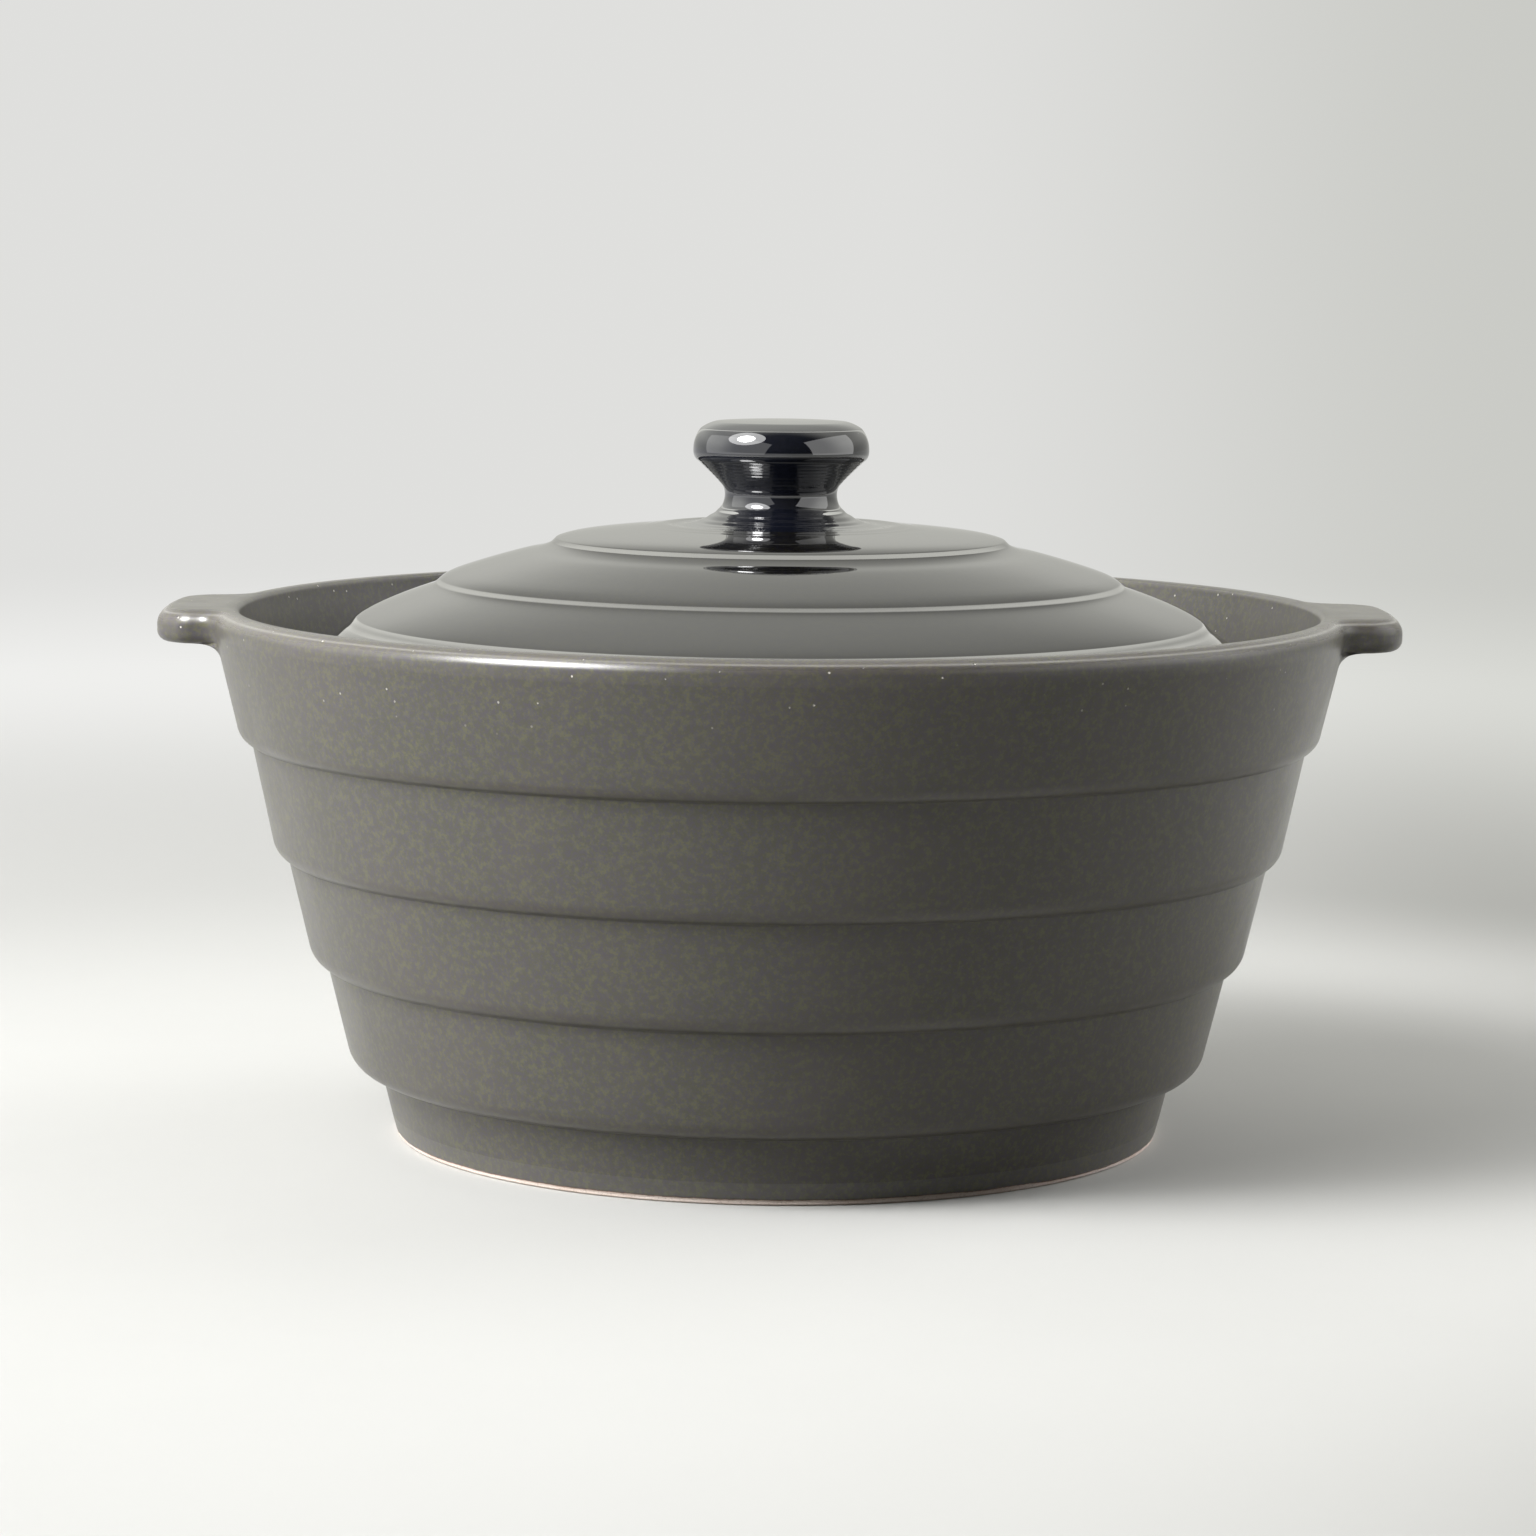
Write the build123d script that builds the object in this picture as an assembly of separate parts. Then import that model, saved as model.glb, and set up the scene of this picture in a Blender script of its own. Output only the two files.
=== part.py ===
"""Donabe clay pot: a stepped bowl with two lugs on an unglazed foot ring, and a stepped lid with a knob.

Lengths are in millimetres and +Z is up. The origin is the centre of the face that the pot rests on.
+X runs out through the right lug. The bowl and the lid are round about Z.
"""
import os
from math import atan2, acos, cos, hypot, radians, sin, sqrt, tan

from build123d import *

# Heights of the bowl, from the floor up: the foot, then four tiers, each with a rounded lip at its lower end
foot_height = 15.0
base_tier_height = 23.6
belly_tier_height = 23.9
shoulder_tier_height = 25.8
collar_tier_height = 29.7

# How far each wall leans in between its top and its lip, going down from the rim
collar_draw = 7.0
shoulder_draw = 5.4
belly_draw = 5.6
base_draw = 5.7
foot_draw = 3.5

# How far each tier sets back below the lip above it, and how round that lip is
collar_step = 2.4
shoulder_step = 2.5
belly_step = 3.0
base_step = 6.2
collar_lip_round = 4.3
shoulder_lip_round = 4.9
belly_lip_round = 5.5
base_lip_round = 5.9

# Rim, and the gallery inside it that carries the lid
rim_bore_radius = 120.0
rim_thickness = 6.8
rim_inner_round = 1.2
rim_outer_round = 3.7
gallery_depth = 19.0
gallery_width = 7.0
gallery_draw = 4.0
gallery_corner_round = 1.6
gallery_edge_round = 2.0

# Inside of the bowl: the wall leaves the gallery at a lean, and one sweep carries it into the flat floor
floor_thickness = 5.5
floor_sweep_width = 34.0
inner_wall_lean_degrees = 8.0
inner_wall_reach = 51.0
inner_floor_reach = 38.0

# Foot ring
foot_ring_width = 8.5
foot_recess_depth = 5.0
foot_edge_round = 0.8
foot_recess_round = 3.0

# Lugs, each standing out past the sharp edge of the rim by its overhang
lug_overhang = 12.0
lug_thickness = 7.5
lug_tip_width = 42.0
lug_root_width = 52.0
lug_tip_bow = 1.6
lug_tip_round = 10.0
lug_under_round = 2.4
lug_blend_round = 4.5
lug_seat_width = 68.0
lug_seat_depth = 12.6
lug_seat_inset = 5.0

# Lid, from its seat up
seat_gap = 0.3
lid_side_clearance = 1.4
brim_thickness = 5.2
brim_width = 5.0
brim_edge_round = 2.0
skirt_width = 13.6
skirt_rise = 9.0
skirt_hollow = 0.4
skirt_foot_round = 3.0
outer_step_drop = 1.6
outer_tier_width = 21.5
outer_tier_rise = 8.75
middle_step_drop = 1.6
middle_tier_width = 24.3
middle_tier_rise = 6.7
crown_step_drop = 1.5
crown_rise = 2.6
tier_crown = 0.5
step_edge_round = 1.0
step_corner_round = 0.45

# Underside of the lid
lid_rest_width = 9.6
lid_rest_round = 1.2
lid_wall_thickness = 5.4
dome_thickness = 5.7
dome_outer_reach = 23.0
dome_top_reach = 40.0
underside_knee_round = 8.0

# Knob
knob_radius = 19.6
knob_foot_radius = 24.0
knob_neck_radius = 12.4
knob_seat_depth = 1.0
knob_neck_rise = 6.65
knob_cap_rise = 10.9
knob_top_round = 5.6
knob_top_dome = 0.2
flare_neck_reach = 5.0
flare_foot_reach = 5.5
flare_foot_lean = 0.35
cap_edge_reach = 6.2
cap_neck_reach = 5.3

# Steam hole through the middle tier of the lid
steam_hole_radius = 4.4
steam_hole_x = 57.0
steam_hole_y = 24.0
steam_hole_lip_round = 1.6
steam_hole_under_round = 1.0

cut_overrun = 5.0
match_tolerance = 0.1

# How far along its arc, as a share of the radius, the middle of a quarter circle stands off each side
quarter_middle_share = 1 - sqrt(0.5)
# How far down a round the test height for the rim's own edges lies, and how wide a clearing block is cut
rim_band_share = 0.5
clearing_share = 3

# Places worked out from the sizes above
base_lip_z = foot_height
belly_lip_z = base_lip_z + base_tier_height
shoulder_lip_z = belly_lip_z + belly_tier_height
collar_lip_z = shoulder_lip_z + shoulder_tier_height
pot_height = collar_lip_z + collar_tier_height
rim_radius = rim_bore_radius + rim_thickness
lug_reach = rim_radius + lug_overhang
gallery_z = pot_height - gallery_depth
gallery_outer_radius = rim_bore_radius - gallery_draw
gallery_inner_radius = gallery_outer_radius - gallery_width
floor_z = foot_recess_depth + floor_thickness

lid_radius = gallery_outer_radius - lid_side_clearance
lid_seat_z = gallery_z + seat_gap
brim_z = lid_seat_z + brim_thickness
skirt_foot_radius = lid_radius - brim_width
outer_step_radius = skirt_foot_radius - skirt_width
middle_step_radius = outer_step_radius - outer_tier_width
crown_step_radius = middle_step_radius - middle_tier_width
outer_step_foot_z = brim_z + skirt_rise
outer_step_top_z = outer_step_foot_z + outer_step_drop
middle_step_foot_z = outer_step_top_z + outer_tier_rise
middle_step_top_z = middle_step_foot_z + middle_step_drop
crown_step_foot_z = middle_step_top_z + middle_tier_rise
crown_step_top_z = crown_step_foot_z + crown_step_drop
crown_z = crown_step_top_z + crown_rise
knob_seat_z = crown_z - knob_seat_depth


def closed_face(edges, rounds=()):
    """Fills a closed outline of (radius, height) edges and rounds the corners named by their points."""
    face = make_face(Curve() + list(edges))
    for corner, radius in rounds:
        vertex = face.vertices().sort_by_distance(Vector(*corner))[0]
        face = fillet(vertex, radius)
    return face


def turned(face):
    """Turns a face of the radius-height plane about Z."""
    return revolve(Plane.XZ * face, Axis.Z)


def tier_outline(top, lip_radius, lip_z, lip_round, step):
    """One tier: its leaning wall, its rounded lip and the short underside to where the next tier starts.

    Returns the edges, going down, and the point where the next tier starts.
    """
    lean = atan2(top[0] - lip_radius, top[1] - lip_z)
    centre = (lip_radius - lip_round * tan((radians(90) - lean) / 2), lip_z + lip_round)
    tangent = (centre[0] + lip_round * cos(lean), centre[1] - lip_round * sin(lean))
    next_radius = lip_radius - step
    if next_radius > centre[0]:
        end_angle = acos((next_radius - centre[0]) / lip_round)
    else:
        end_angle = radians(90)
    middle_angle = (lean + end_angle) / 2
    middle = (centre[0] + lip_round * cos(middle_angle), centre[1] - lip_round * sin(middle_angle))
    end = (centre[0] + lip_round * cos(end_angle), centre[1] - lip_round * sin(end_angle))
    edges = [Line(top, tangent), ThreePointArc(tangent, middle, end)]
    if next_radius < centre[0]:
        edges.append(Line(end, (next_radius, lip_z)))
        end = (next_radius, lip_z)
    return edges, end


def bowl_blank():
    """The outside of the pot as a solid, with a sharp rim and no lugs yet."""
    tiers = (
        (collar_draw, collar_lip_z, collar_lip_round, collar_step),
        (shoulder_draw, shoulder_lip_z, shoulder_lip_round, shoulder_step),
        (belly_draw, belly_lip_z, belly_lip_round, belly_step),
        (base_draw, base_lip_z, base_lip_round, base_step),
    )
    point = (rim_radius, pot_height)
    edges = [Line((0, pot_height), point)]
    for draw, lip_z, lip_round, step in tiers:
        tier_edges, point = tier_outline(point, point[0] - draw, lip_z, lip_round, step)
        edges += tier_edges
    foot_edge = (point[0] - foot_draw, 0)
    edges += [Line(point, foot_edge), Line(foot_edge, (0, 0)), Line((0, 0), (0, pot_height))]
    return turned(closed_face(edges, [(foot_edge, foot_edge_round)])), foot_edge[0]


def lug_plate():
    """The right lug as a tapered plate with a bowed tip, level with the rim and running into the wall."""
    root_x = rim_bore_radius
    tip_x = lug_reach - lug_tip_bow
    root_low, root_high = (root_x, -lug_root_width / 2), (root_x, lug_root_width / 2)
    tip_low, tip_high = (tip_x, -lug_tip_width / 2), (tip_x, lug_tip_width / 2)
    edges = [
        Line(root_high, root_low),
        Line(root_low, tip_low),
        ThreePointArc(tip_low, (lug_reach, 0), tip_high),
        Line(tip_high, root_high),
    ]
    plan = closed_face(edges, [(tip_low, lug_tip_round), (tip_high, lug_tip_round)])
    plate = extrude(Plane.XY.offset(pot_height - lug_thickness) * plan, lug_thickness)
    under_edges = plate.faces().sort_by(Axis.Z)[0].edges().sort_by(Axis.X)[1:]
    return fillet(under_edges, lug_under_round)


def pot_outside():
    """The bowl's outside with both lugs blended in and the whole rim rounded over in one sweep."""
    blank, foot_radius = bowl_blank()
    right = lug_plate()
    left = Rot(0, 0, 180) * right
    joined = blank + right + left
    below_rim = pot_height - rim_outer_round * rim_band_share
    seams = [edge for edge in new_edges(blank, right, left, combined=joined) if edge.center().Z < below_rim]
    blended = fillet(seams, lug_blend_round)
    rim_edges = blended.faces().sort_by(Axis.Z)[-1].outer_wire().edges()
    return fillet(rim_edges, rim_outer_round), foot_radius


def bowl_hollow():
    """What is taken out of the pot: the collar above the gallery, and the cooking space below it."""
    top = pot_height + cut_overrun
    bore_top = (rim_bore_radius + rim_inner_round, pot_height)
    bore_side = (rim_bore_radius, pot_height - rim_inner_round)
    round_middle = rim_inner_round * quarter_middle_share
    bore_middle = (rim_bore_radius + round_middle, pot_height - round_middle)
    ledge_outer = (gallery_outer_radius, gallery_z)
    ledge_inner = (gallery_inner_radius, gallery_z)
    lean = radians(inner_wall_lean_degrees)
    wall_handle = (
        gallery_inner_radius - inner_wall_reach * sin(lean),
        gallery_z - inner_wall_reach * cos(lean),
    )
    floor_edge = (gallery_inner_radius - floor_sweep_width - inner_floor_reach / 2, floor_z)
    floor_handle = (floor_edge[0] + inner_floor_reach, floor_z)
    edges = [
        Line((0, top), (bore_top[0], top)),
        Line((bore_top[0], top), bore_top),
        ThreePointArc(bore_top, bore_middle, bore_side),
        Line(bore_side, ledge_outer),
        Line(ledge_outer, ledge_inner),
        Bezier(ledge_inner, wall_handle, floor_handle, floor_edge),
        Line(floor_edge, (0, floor_z)),
        Line((0, floor_z), (0, top)),
    ]
    rounds = [(ledge_outer, gallery_corner_round), (ledge_inner, gallery_edge_round)]
    return turned(closed_face(edges, rounds))


def foot_recess(foot_radius):
    """The shallow recess under the base that leaves the foot ring standing."""
    inner_radius = foot_radius - foot_ring_width
    corner = (inner_radius, foot_recess_depth)
    mouth = (inner_radius, -cut_overrun)
    edges = [
        Line((0, -cut_overrun), mouth),
        Line(mouth, corner),
        Line(corner, (0, foot_recess_depth)),
        Line((0, foot_recess_depth), (0, -cut_overrun)),
    ]
    return turned(closed_face(edges, [(corner, foot_recess_round)]))


def lug_seat():
    """The space round the right lug and its root, which divides the lug from the bowl at its luted joint."""
    seat_radius = rim_radius - lug_seat_inset
    height = lug_seat_depth + cut_overrun
    length = lug_reach + cut_overrun
    block = Pos(length / 2, 0, pot_height + cut_overrun - height / 2) * Box(length, lug_seat_width, height)
    core = Pos(0, 0, pot_height - lug_seat_depth) * Cylinder(
        seat_radius, height + cut_overrun, align=(Align.CENTER, Align.CENTER, Align.MIN)
    )
    return block - core


def pot_pieces():
    """The bowl, its foot ring and its two lugs, cut from one blended form so that they meet face to face."""
    outside, foot_radius = pot_outside()
    whole = outside - bowl_hollow() - foot_recess(foot_radius)
    right_seat = lug_seat()
    left_seat = Rot(0, 0, 180) * right_seat
    foot_block = Pos(0, 0, foot_recess_depth) * Box(
        foot_radius * clearing_share, foot_radius * clearing_share, foot_recess_depth + cut_overrun,
        align=(Align.CENTER, Align.CENTER, Align.MAX),
    )
    return {
        "pot_bowl": whole - right_seat - left_seat - foot_block,
        "foot_ring": whole & foot_block,
        "lug_right": whole & right_seat,
        "lug_left": whole & left_seat,
    }


def lid_outline():
    """The dome's section: its crowned tiers and sloping skirt above, its hollow below, and the corner rounds."""
    seat_outer = (lid_radius, lid_seat_z)
    brim_edge = (lid_radius, brim_z)
    skirt_foot = (skirt_foot_radius, brim_z)
    outer_foot = (outer_step_radius, outer_step_foot_z)
    outer_top = (outer_step_radius, outer_step_top_z)
    middle_foot = (middle_step_radius, middle_step_foot_z)
    middle_top = (middle_step_radius, middle_step_top_z)
    crown_foot = (crown_step_radius, crown_step_foot_z)
    crown_top = (crown_step_radius, crown_step_top_z)
    crown_inner = (knob_foot_radius, crown_z)
    seat_wall = (knob_foot_radius, knob_seat_z)
    dome_top = (0, crown_z - dome_thickness)
    rest_inner = (lid_radius - lid_rest_width, lid_seat_z)
    inset = lid_wall_thickness / 2
    knee = (outer_step_radius - inset, outer_step_foot_z - inset)
    slope = (crown_step_foot_z - outer_step_top_z) / (outer_step_radius - crown_step_radius)
    knee_handle = (knee[0] - dome_outer_reach, knee[1] + dome_outer_reach * slope)
    edges = [
        Line(seat_outer, brim_edge),
        Line(brim_edge, skirt_foot),
        SagittaArc(skirt_foot, outer_foot, skirt_hollow),
        Line(outer_foot, outer_top),
        SagittaArc(outer_top, middle_foot, -tier_crown),
        Line(middle_foot, middle_top),
        SagittaArc(middle_top, crown_foot, -tier_crown),
        Line(crown_foot, crown_top),
        SagittaArc(crown_top, crown_inner, -tier_crown),
        Line(crown_inner, seat_wall),
        Line(seat_wall, (0, knob_seat_z)),
        Line((0, knob_seat_z), dome_top),
        Bezier(dome_top, (dome_top_reach, dome_top[1]), knee_handle, knee),
        Line(knee, rest_inner),
        Line(rest_inner, seat_outer),
    ]
    rounds = [
        (brim_edge, brim_edge_round),
        (seat_outer, brim_edge_round),
        (skirt_foot, skirt_foot_round),
        (rest_inner, lid_rest_round),
        (knee, underside_knee_round),
    ]
    for top, foot in ((outer_top, outer_foot), (middle_top, middle_foot), (crown_top, crown_foot)):
        rounds += [(top, step_edge_round), (foot, step_corner_round)]
    return edges, rounds


def steam_hole():
    """The drill for the steam hole, straight down through the middle tier."""
    place = Pos(steam_hole_x, steam_hole_y, lid_seat_z)
    return place * Cylinder(steam_hole_radius, crown_z, align=(Align.CENTER, Align.CENTER, Align.MIN))


def is_hole_mouth(edge):
    """Whether an edge runs round the bore of the steam hole."""
    if edge.geom_type == GeomType.LINE:
        return False
    point = edge.position_at(0)
    offset = hypot(point.X - steam_hole_x, point.Y - steam_hole_y)
    return abs(offset - steam_hole_radius) < match_tolerance


def lid_dome():
    """The lid: a flat brim on the gallery, a sloping skirt and crowned tiers with softened steps."""
    edges, rounds = lid_outline()
    pierced = turned(closed_face(edges, rounds)) - steam_hole()
    upper = pierced.edges().filter_by(is_hole_mouth).sort_by(Axis.Z)[-1:]
    pierced = fillet(upper, steam_hole_lip_round)
    lower = pierced.edges().filter_by(is_hole_mouth).sort_by(Axis.Z)[:1]
    return fillet(lower, steam_hole_under_round)


def lid_knob():
    """The knob: a foot flared into the crown, a narrow neck and a round-edged cap."""
    neck_z = crown_z + knob_neck_rise
    cap_z = neck_z + knob_cap_rise
    cap_top_z = cap_z + knob_top_round
    foot_low = (knob_foot_radius, knob_seat_z)
    foot_top = (knob_foot_radius, crown_z)
    foot_handle = (knob_foot_radius - flare_foot_reach, crown_z + flare_foot_lean)
    neck = (knob_neck_radius, neck_z)
    cap = (knob_radius, cap_z)
    cap_flat = (knob_radius - knob_top_round, cap_top_z)
    middle_radius = knob_radius - knob_top_round * quarter_middle_share
    middle_z = cap_top_z - knob_top_round * quarter_middle_share
    summit = (0, cap_top_z + knob_top_dome)
    edges = [
        Line((0, knob_seat_z), foot_low),
        Line(foot_low, foot_top),
        Bezier(foot_top, foot_handle, (neck[0], neck_z - flare_neck_reach), neck),
        Bezier(neck, (neck[0], neck_z + cap_neck_reach), (cap[0], cap_z - cap_edge_reach), cap),
        ThreePointArc(cap, (middle_radius, middle_z), cap_flat),
        TangentArc(summit, cap_flat, tangent=(1, 0)),
        Line(summit, (0, knob_seat_z)),
    ]
    return turned(closed_face(edges))


def main():
    """Builds every piece and writes each one to its own STEP file."""
    os.makedirs("parts", exist_ok=True)
    pieces = pot_pieces()
    pieces["lid_dome"] = lid_dome()
    pieces["lid_knob"] = lid_knob()
    for name, piece in pieces.items():
        solids = piece.solids()
        print(name, "solids", len(solids), "volume", round(sum(s.volume for s in solids)))
        export_step(Compound(children=list(solids)) if len(solids) > 1 else solids[0], f"parts/{name}.step")


main()
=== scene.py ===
"""Donabe clay pot: the glazed pot and its lid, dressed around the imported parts.

Lengths are in metres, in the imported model's frame: the origin is the centre of the face that the foot
stands on, +Z is up and +X runs out through the right lug. The points of curve rows are in millimetres.
"""
import logging
import math
from dataclasses import dataclass, replace
from enum import Enum

import bmesh
import bpy
from bmesh.types import BMEdge, BMesh, BMFace, BMVert
from bpy.types import Material, Node, NodeSocket, Object, World
from mathutils import Matrix, Vector, noise


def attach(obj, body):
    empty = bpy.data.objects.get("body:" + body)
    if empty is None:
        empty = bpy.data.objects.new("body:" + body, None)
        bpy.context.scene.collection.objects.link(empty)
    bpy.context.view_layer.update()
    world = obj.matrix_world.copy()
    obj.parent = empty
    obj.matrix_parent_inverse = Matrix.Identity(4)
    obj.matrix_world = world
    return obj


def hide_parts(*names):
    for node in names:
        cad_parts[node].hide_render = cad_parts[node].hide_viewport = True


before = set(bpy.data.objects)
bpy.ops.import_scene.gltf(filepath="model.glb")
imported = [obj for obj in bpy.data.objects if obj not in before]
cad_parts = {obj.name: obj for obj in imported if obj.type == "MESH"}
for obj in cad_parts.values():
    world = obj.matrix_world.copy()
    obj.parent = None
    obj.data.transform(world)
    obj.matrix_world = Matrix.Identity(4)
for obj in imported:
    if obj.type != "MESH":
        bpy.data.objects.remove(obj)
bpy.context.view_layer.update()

Pair = tuple[float, float]
Triple = tuple[float, float, float]
CurveRow = tuple[Pair, Pair, Pair, int]

LOG = logging.getLogger("donabe")
MM = 0.001
MERGE_GAP = MM / 1000
AXIS_GAP = MM / 100
LEVEL_GAP = MM / 20
THIN_LAYER = "thin"
EDGE_LAYER = "glaze_edge"
ROW_LAYER = "row"
DOUBLINGS = 4
SHARP_ANGLE = math.radians(40)
MIX_FIRST = 6
MIX_SECOND = 7
MIX_COLOUR = 2
LOWER_SHADER = 1
UPPER_SHADER = 2
NEAR_END = 0.999


class Skin(Enum):
    """The two coverings that a piece of the pot can show, as material places on its mesh."""

    GLAZE = 0
    CLAY = 1


class LampPart(Enum):
    """Which part of the light a lamp gives: all of it, only what is mirrored, or only the rest."""

    BOTH = "both"
    SHINE = "shine"
    FILL = "fill"


class LampShape(Enum):
    """The outline of a lamp's face."""

    OBLONG = "RECTANGLE"
    OVAL = "ELLIPSE"


class LugZone(Enum):
    """The runs of the pot's section that are drawn out into a lug, from the top of the rim down."""

    TOP = "top"
    EDGE = "edge"
    SIDE = "side"
    UNDER_EDGE = "under_edge"
    UNDER = "under"
    BLEND = "blend"
    WALL = "wall"


class LugRun(Enum):
    """The runs of a lug's outline seen from above, from the rim out to the middle of its tip."""

    FLARE = "flare"
    SIDE = "side"
    CORNER = "corner"
    TIP = "tip"


def held(value: float) -> float:
    """Holds a value between 0 and 1."""
    return min(max(value, 0.0), 1.0)


def eased(share: float) -> float:
    """Eases a share in at 0 and out at 1."""
    return share * share * (3 - 2 * share)


def heading(angle: float) -> Vector:
    """The direction at an angle round the axis, seen from above."""
    return Vector((math.cos(angle), math.sin(angle)))


@dataclass(frozen=True)
class SectionPoint:
    """One point of a half-section.

    Args:
        r: Distance from the axis.
        z: Height.
        thin: How thin the glaze lies there, from 0 to 1.
        zone: The lug zone that the point belongs to, if any.
        share: How far the point lies along its lug zone, from 0 to 1.
    """

    r: float
    z: float
    thin: float = 0.0
    zone: LugZone | None = None
    share: float = 0.0


class SectionPen:
    """Draws a half-section as a run of points, with straights, arcs and curves."""

    def __init__(self, r: float, z: float) -> None:
        """Starts the section.

        Args:
            r: Distance of the first point from the axis.
            z: Height of the first point.
        """
        self.points: list[SectionPoint] = [SectionPoint(r, z)]

    @property
    def last(self) -> SectionPoint:
        """The point drawn last."""
        return self.points[-1]

    def line(self, r: float, z: float, count: int = 1, thin: float = 0.0,
             zone: LugZone | None = None) -> None:
        """Draws a straight run.

        Args:
            r: Distance of its end from the axis.
            z: Height of its end.
            count: Number of points to lay along it.
            thin: How thin the glaze lies along it.
            zone: The lug zone that the run belongs to.
        """
        start = self.last
        for i in range(1, count + 1):
            t = i / count
            self.points.append(SectionPoint(
                start.r + (r - start.r) * t, start.z + (z - start.z) * t, thin, zone, t))

    def arc(self, r: float, z: float, radius: float, start: float, end: float, count: int,
            thin: float = 0.0, zone: LugZone | None = None) -> None:
        """Draws an arc.

        Args:
            r: Distance of its centre from the axis.
            z: Height of its centre.
            radius: Its radius.
            start: Direction of its start from the centre, in degrees up from outward.
            end: Direction of its end, in the same way.
            count: Number of points to lay along it.
            thin: How thin the glaze lies at its middle.
            zone: The lug zone that the arc belongs to.
        """
        for i in range(1, count + 1):
            t = i / count
            angle = math.radians(start + (end - start) * t)
            self.points.append(SectionPoint(
                r + radius * math.cos(angle), z + radius * math.sin(angle),
                thin * math.sin(math.pi * min(t, NEAR_END)), zone, t))

    def curve(self, first: Pair, second: Pair, end: Pair, count: int) -> None:
        """Draws a smooth curve pulled by two handles.

        Args:
            first: The point that pulls its start.
            second: The point that pulls its end.
            end: Its end.
            count: Number of points to lay along it.
        """
        start = (self.last.r, self.last.z)
        for i in range(1, count + 1):
            t = i / count
            u = 1 - t
            shares = (u ** 3, 3 * u * u * t, 3 * u * t * t, t ** 3)
            self.points.append(SectionPoint(*(
                sum(share * point[axis] for share, point in zip(shares, (start, first, second, end)))
                for axis in (0, 1))))

    def curves(self, rows: tuple[CurveRow, ...], r: float = 0.0, z: float = 0.0,
               outward: float = 1.0) -> None:
        """Draws a run of curves.

        Args:
            rows: For each curve its two handles, its end and its number of points, in millimetres.
            r: Distance from the axis that the rows are measured from.
            z: Height that the rows are measured from.
            outward: 1 when the rows are measured outwards, -1 when inwards.
        """
        for *points, count in rows:
            self.curve(*((r + outward * x * MM, z + y * MM) for x, y in points), count)


def turned(points: list[SectionPoint], columns: int) -> BMesh:
    """Turns a half-section about Z into a closed mesh: a narrow sector, doubled until it is round.

    Args:
        points: The section, as a closed run or one that starts and ends on the axis.
        columns: Number of steps in the turn.

    Returns:
        The mesh, with how thin the glaze lies and the section row kept on its points.
    """
    bm = bmesh.new()
    thin = bm.verts.layers.float.new(THIN_LAYER)
    row = bm.verts.layers.int.new(ROW_LAYER)
    bm.verts.layers.float.new(EDGE_LAYER)
    verts = []
    for i, point in enumerate(points):
        vert = bm.verts.new((point.r, 0.0, point.z))
        vert[thin] = point.thin
        vert[row] = i
        verts.append(vert)
    edges = [bm.edges.new(pair) for pair in zip(verts, verts[1:])]
    if points[0].r > 0:
        edges.append(bm.edges.new((verts[-1], verts[0])))
    bmesh.ops.spin(bm, geom=verts + edges, cent=(0, 0, 0), axis=(0, 0, 1), dvec=(0, 0, 0),
                   angle=math.tau / 2 ** DOUBLINGS, steps=columns // 2 ** DOUBLINGS,
                   use_merge=False, use_normal_flip=False, use_duplicate=False)
    for i in range(DOUBLINGS):
        turn = Matrix.Rotation(math.tau / 2 ** (DOUBLINGS - i), 3, "Z")
        copied = bmesh.ops.duplicate(bm, geom=bm.verts[:] + bm.edges[:] + bm.faces[:])["geom"]
        bmesh.ops.rotate(bm, cent=(0, 0, 0), matrix=turn,
                         verts=[part for part in copied if isinstance(part, BMVert)])
    bmesh.ops.remove_doubles(bm, verts=bm.verts[:], dist=MERGE_GAP)
    bmesh.ops.recalc_face_normals(bm, faces=bm.faces[:])
    return bm


def finish_piece(name: str, bm: BMesh, materials: list[Material], body: str, node: str) -> Object:
    """Makes an object of a mesh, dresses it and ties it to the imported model.

    Args:
        name: The piece's name.
        bm: Its mesh, which is freed.
        materials: Its materials, in the order of Skin.
        body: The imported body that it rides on.
        node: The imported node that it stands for.

    Returns:
        The finished object.
    """
    mesh = bpy.data.meshes.new(name)
    for face in bm.faces:
        face.smooth = True
    for edge in bm.edges:
        edge.smooth = len(edge.link_faces) != 2 or edge.calc_face_angle() < SHARP_ANGLE
    bm.to_mesh(mesh)
    bm.free()
    for material in materials:
        mesh.materials.append(material)
    piece = bpy.data.objects.new(name, mesh)
    bpy.context.scene.collection.objects.link(piece)
    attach(piece, body)
    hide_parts(node)
    return piece


@dataclass(frozen=True)
class Ramp:
    """A smooth change from one value to another, over a span of what drives it.

    Args:
        low: Where the change starts.
        high: Where it ends.
        to_low: The value at its start.
        to_high: The value at its end.
    """

    low: float
    high: float
    to_low: float = 0.0
    to_high: float = 1.0


@dataclass(frozen=True)
class Clouds:
    """A cloudy pattern.

    Args:
        scale: Number of clouds in a metre.
        detail: Levels of finer clouds.
        roughness: Strength of the finer clouds.
        ramp: How its values are spread, if they aren't taken as they come.
        warp: How far the clouds are bent.
        stretch: Scale of the coordinates along X, Y and Z.
    """

    scale: float
    detail: float
    roughness: float
    ramp: Ramp | None = None
    warp: float = 0.0
    stretch: Triple | None = None


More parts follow.
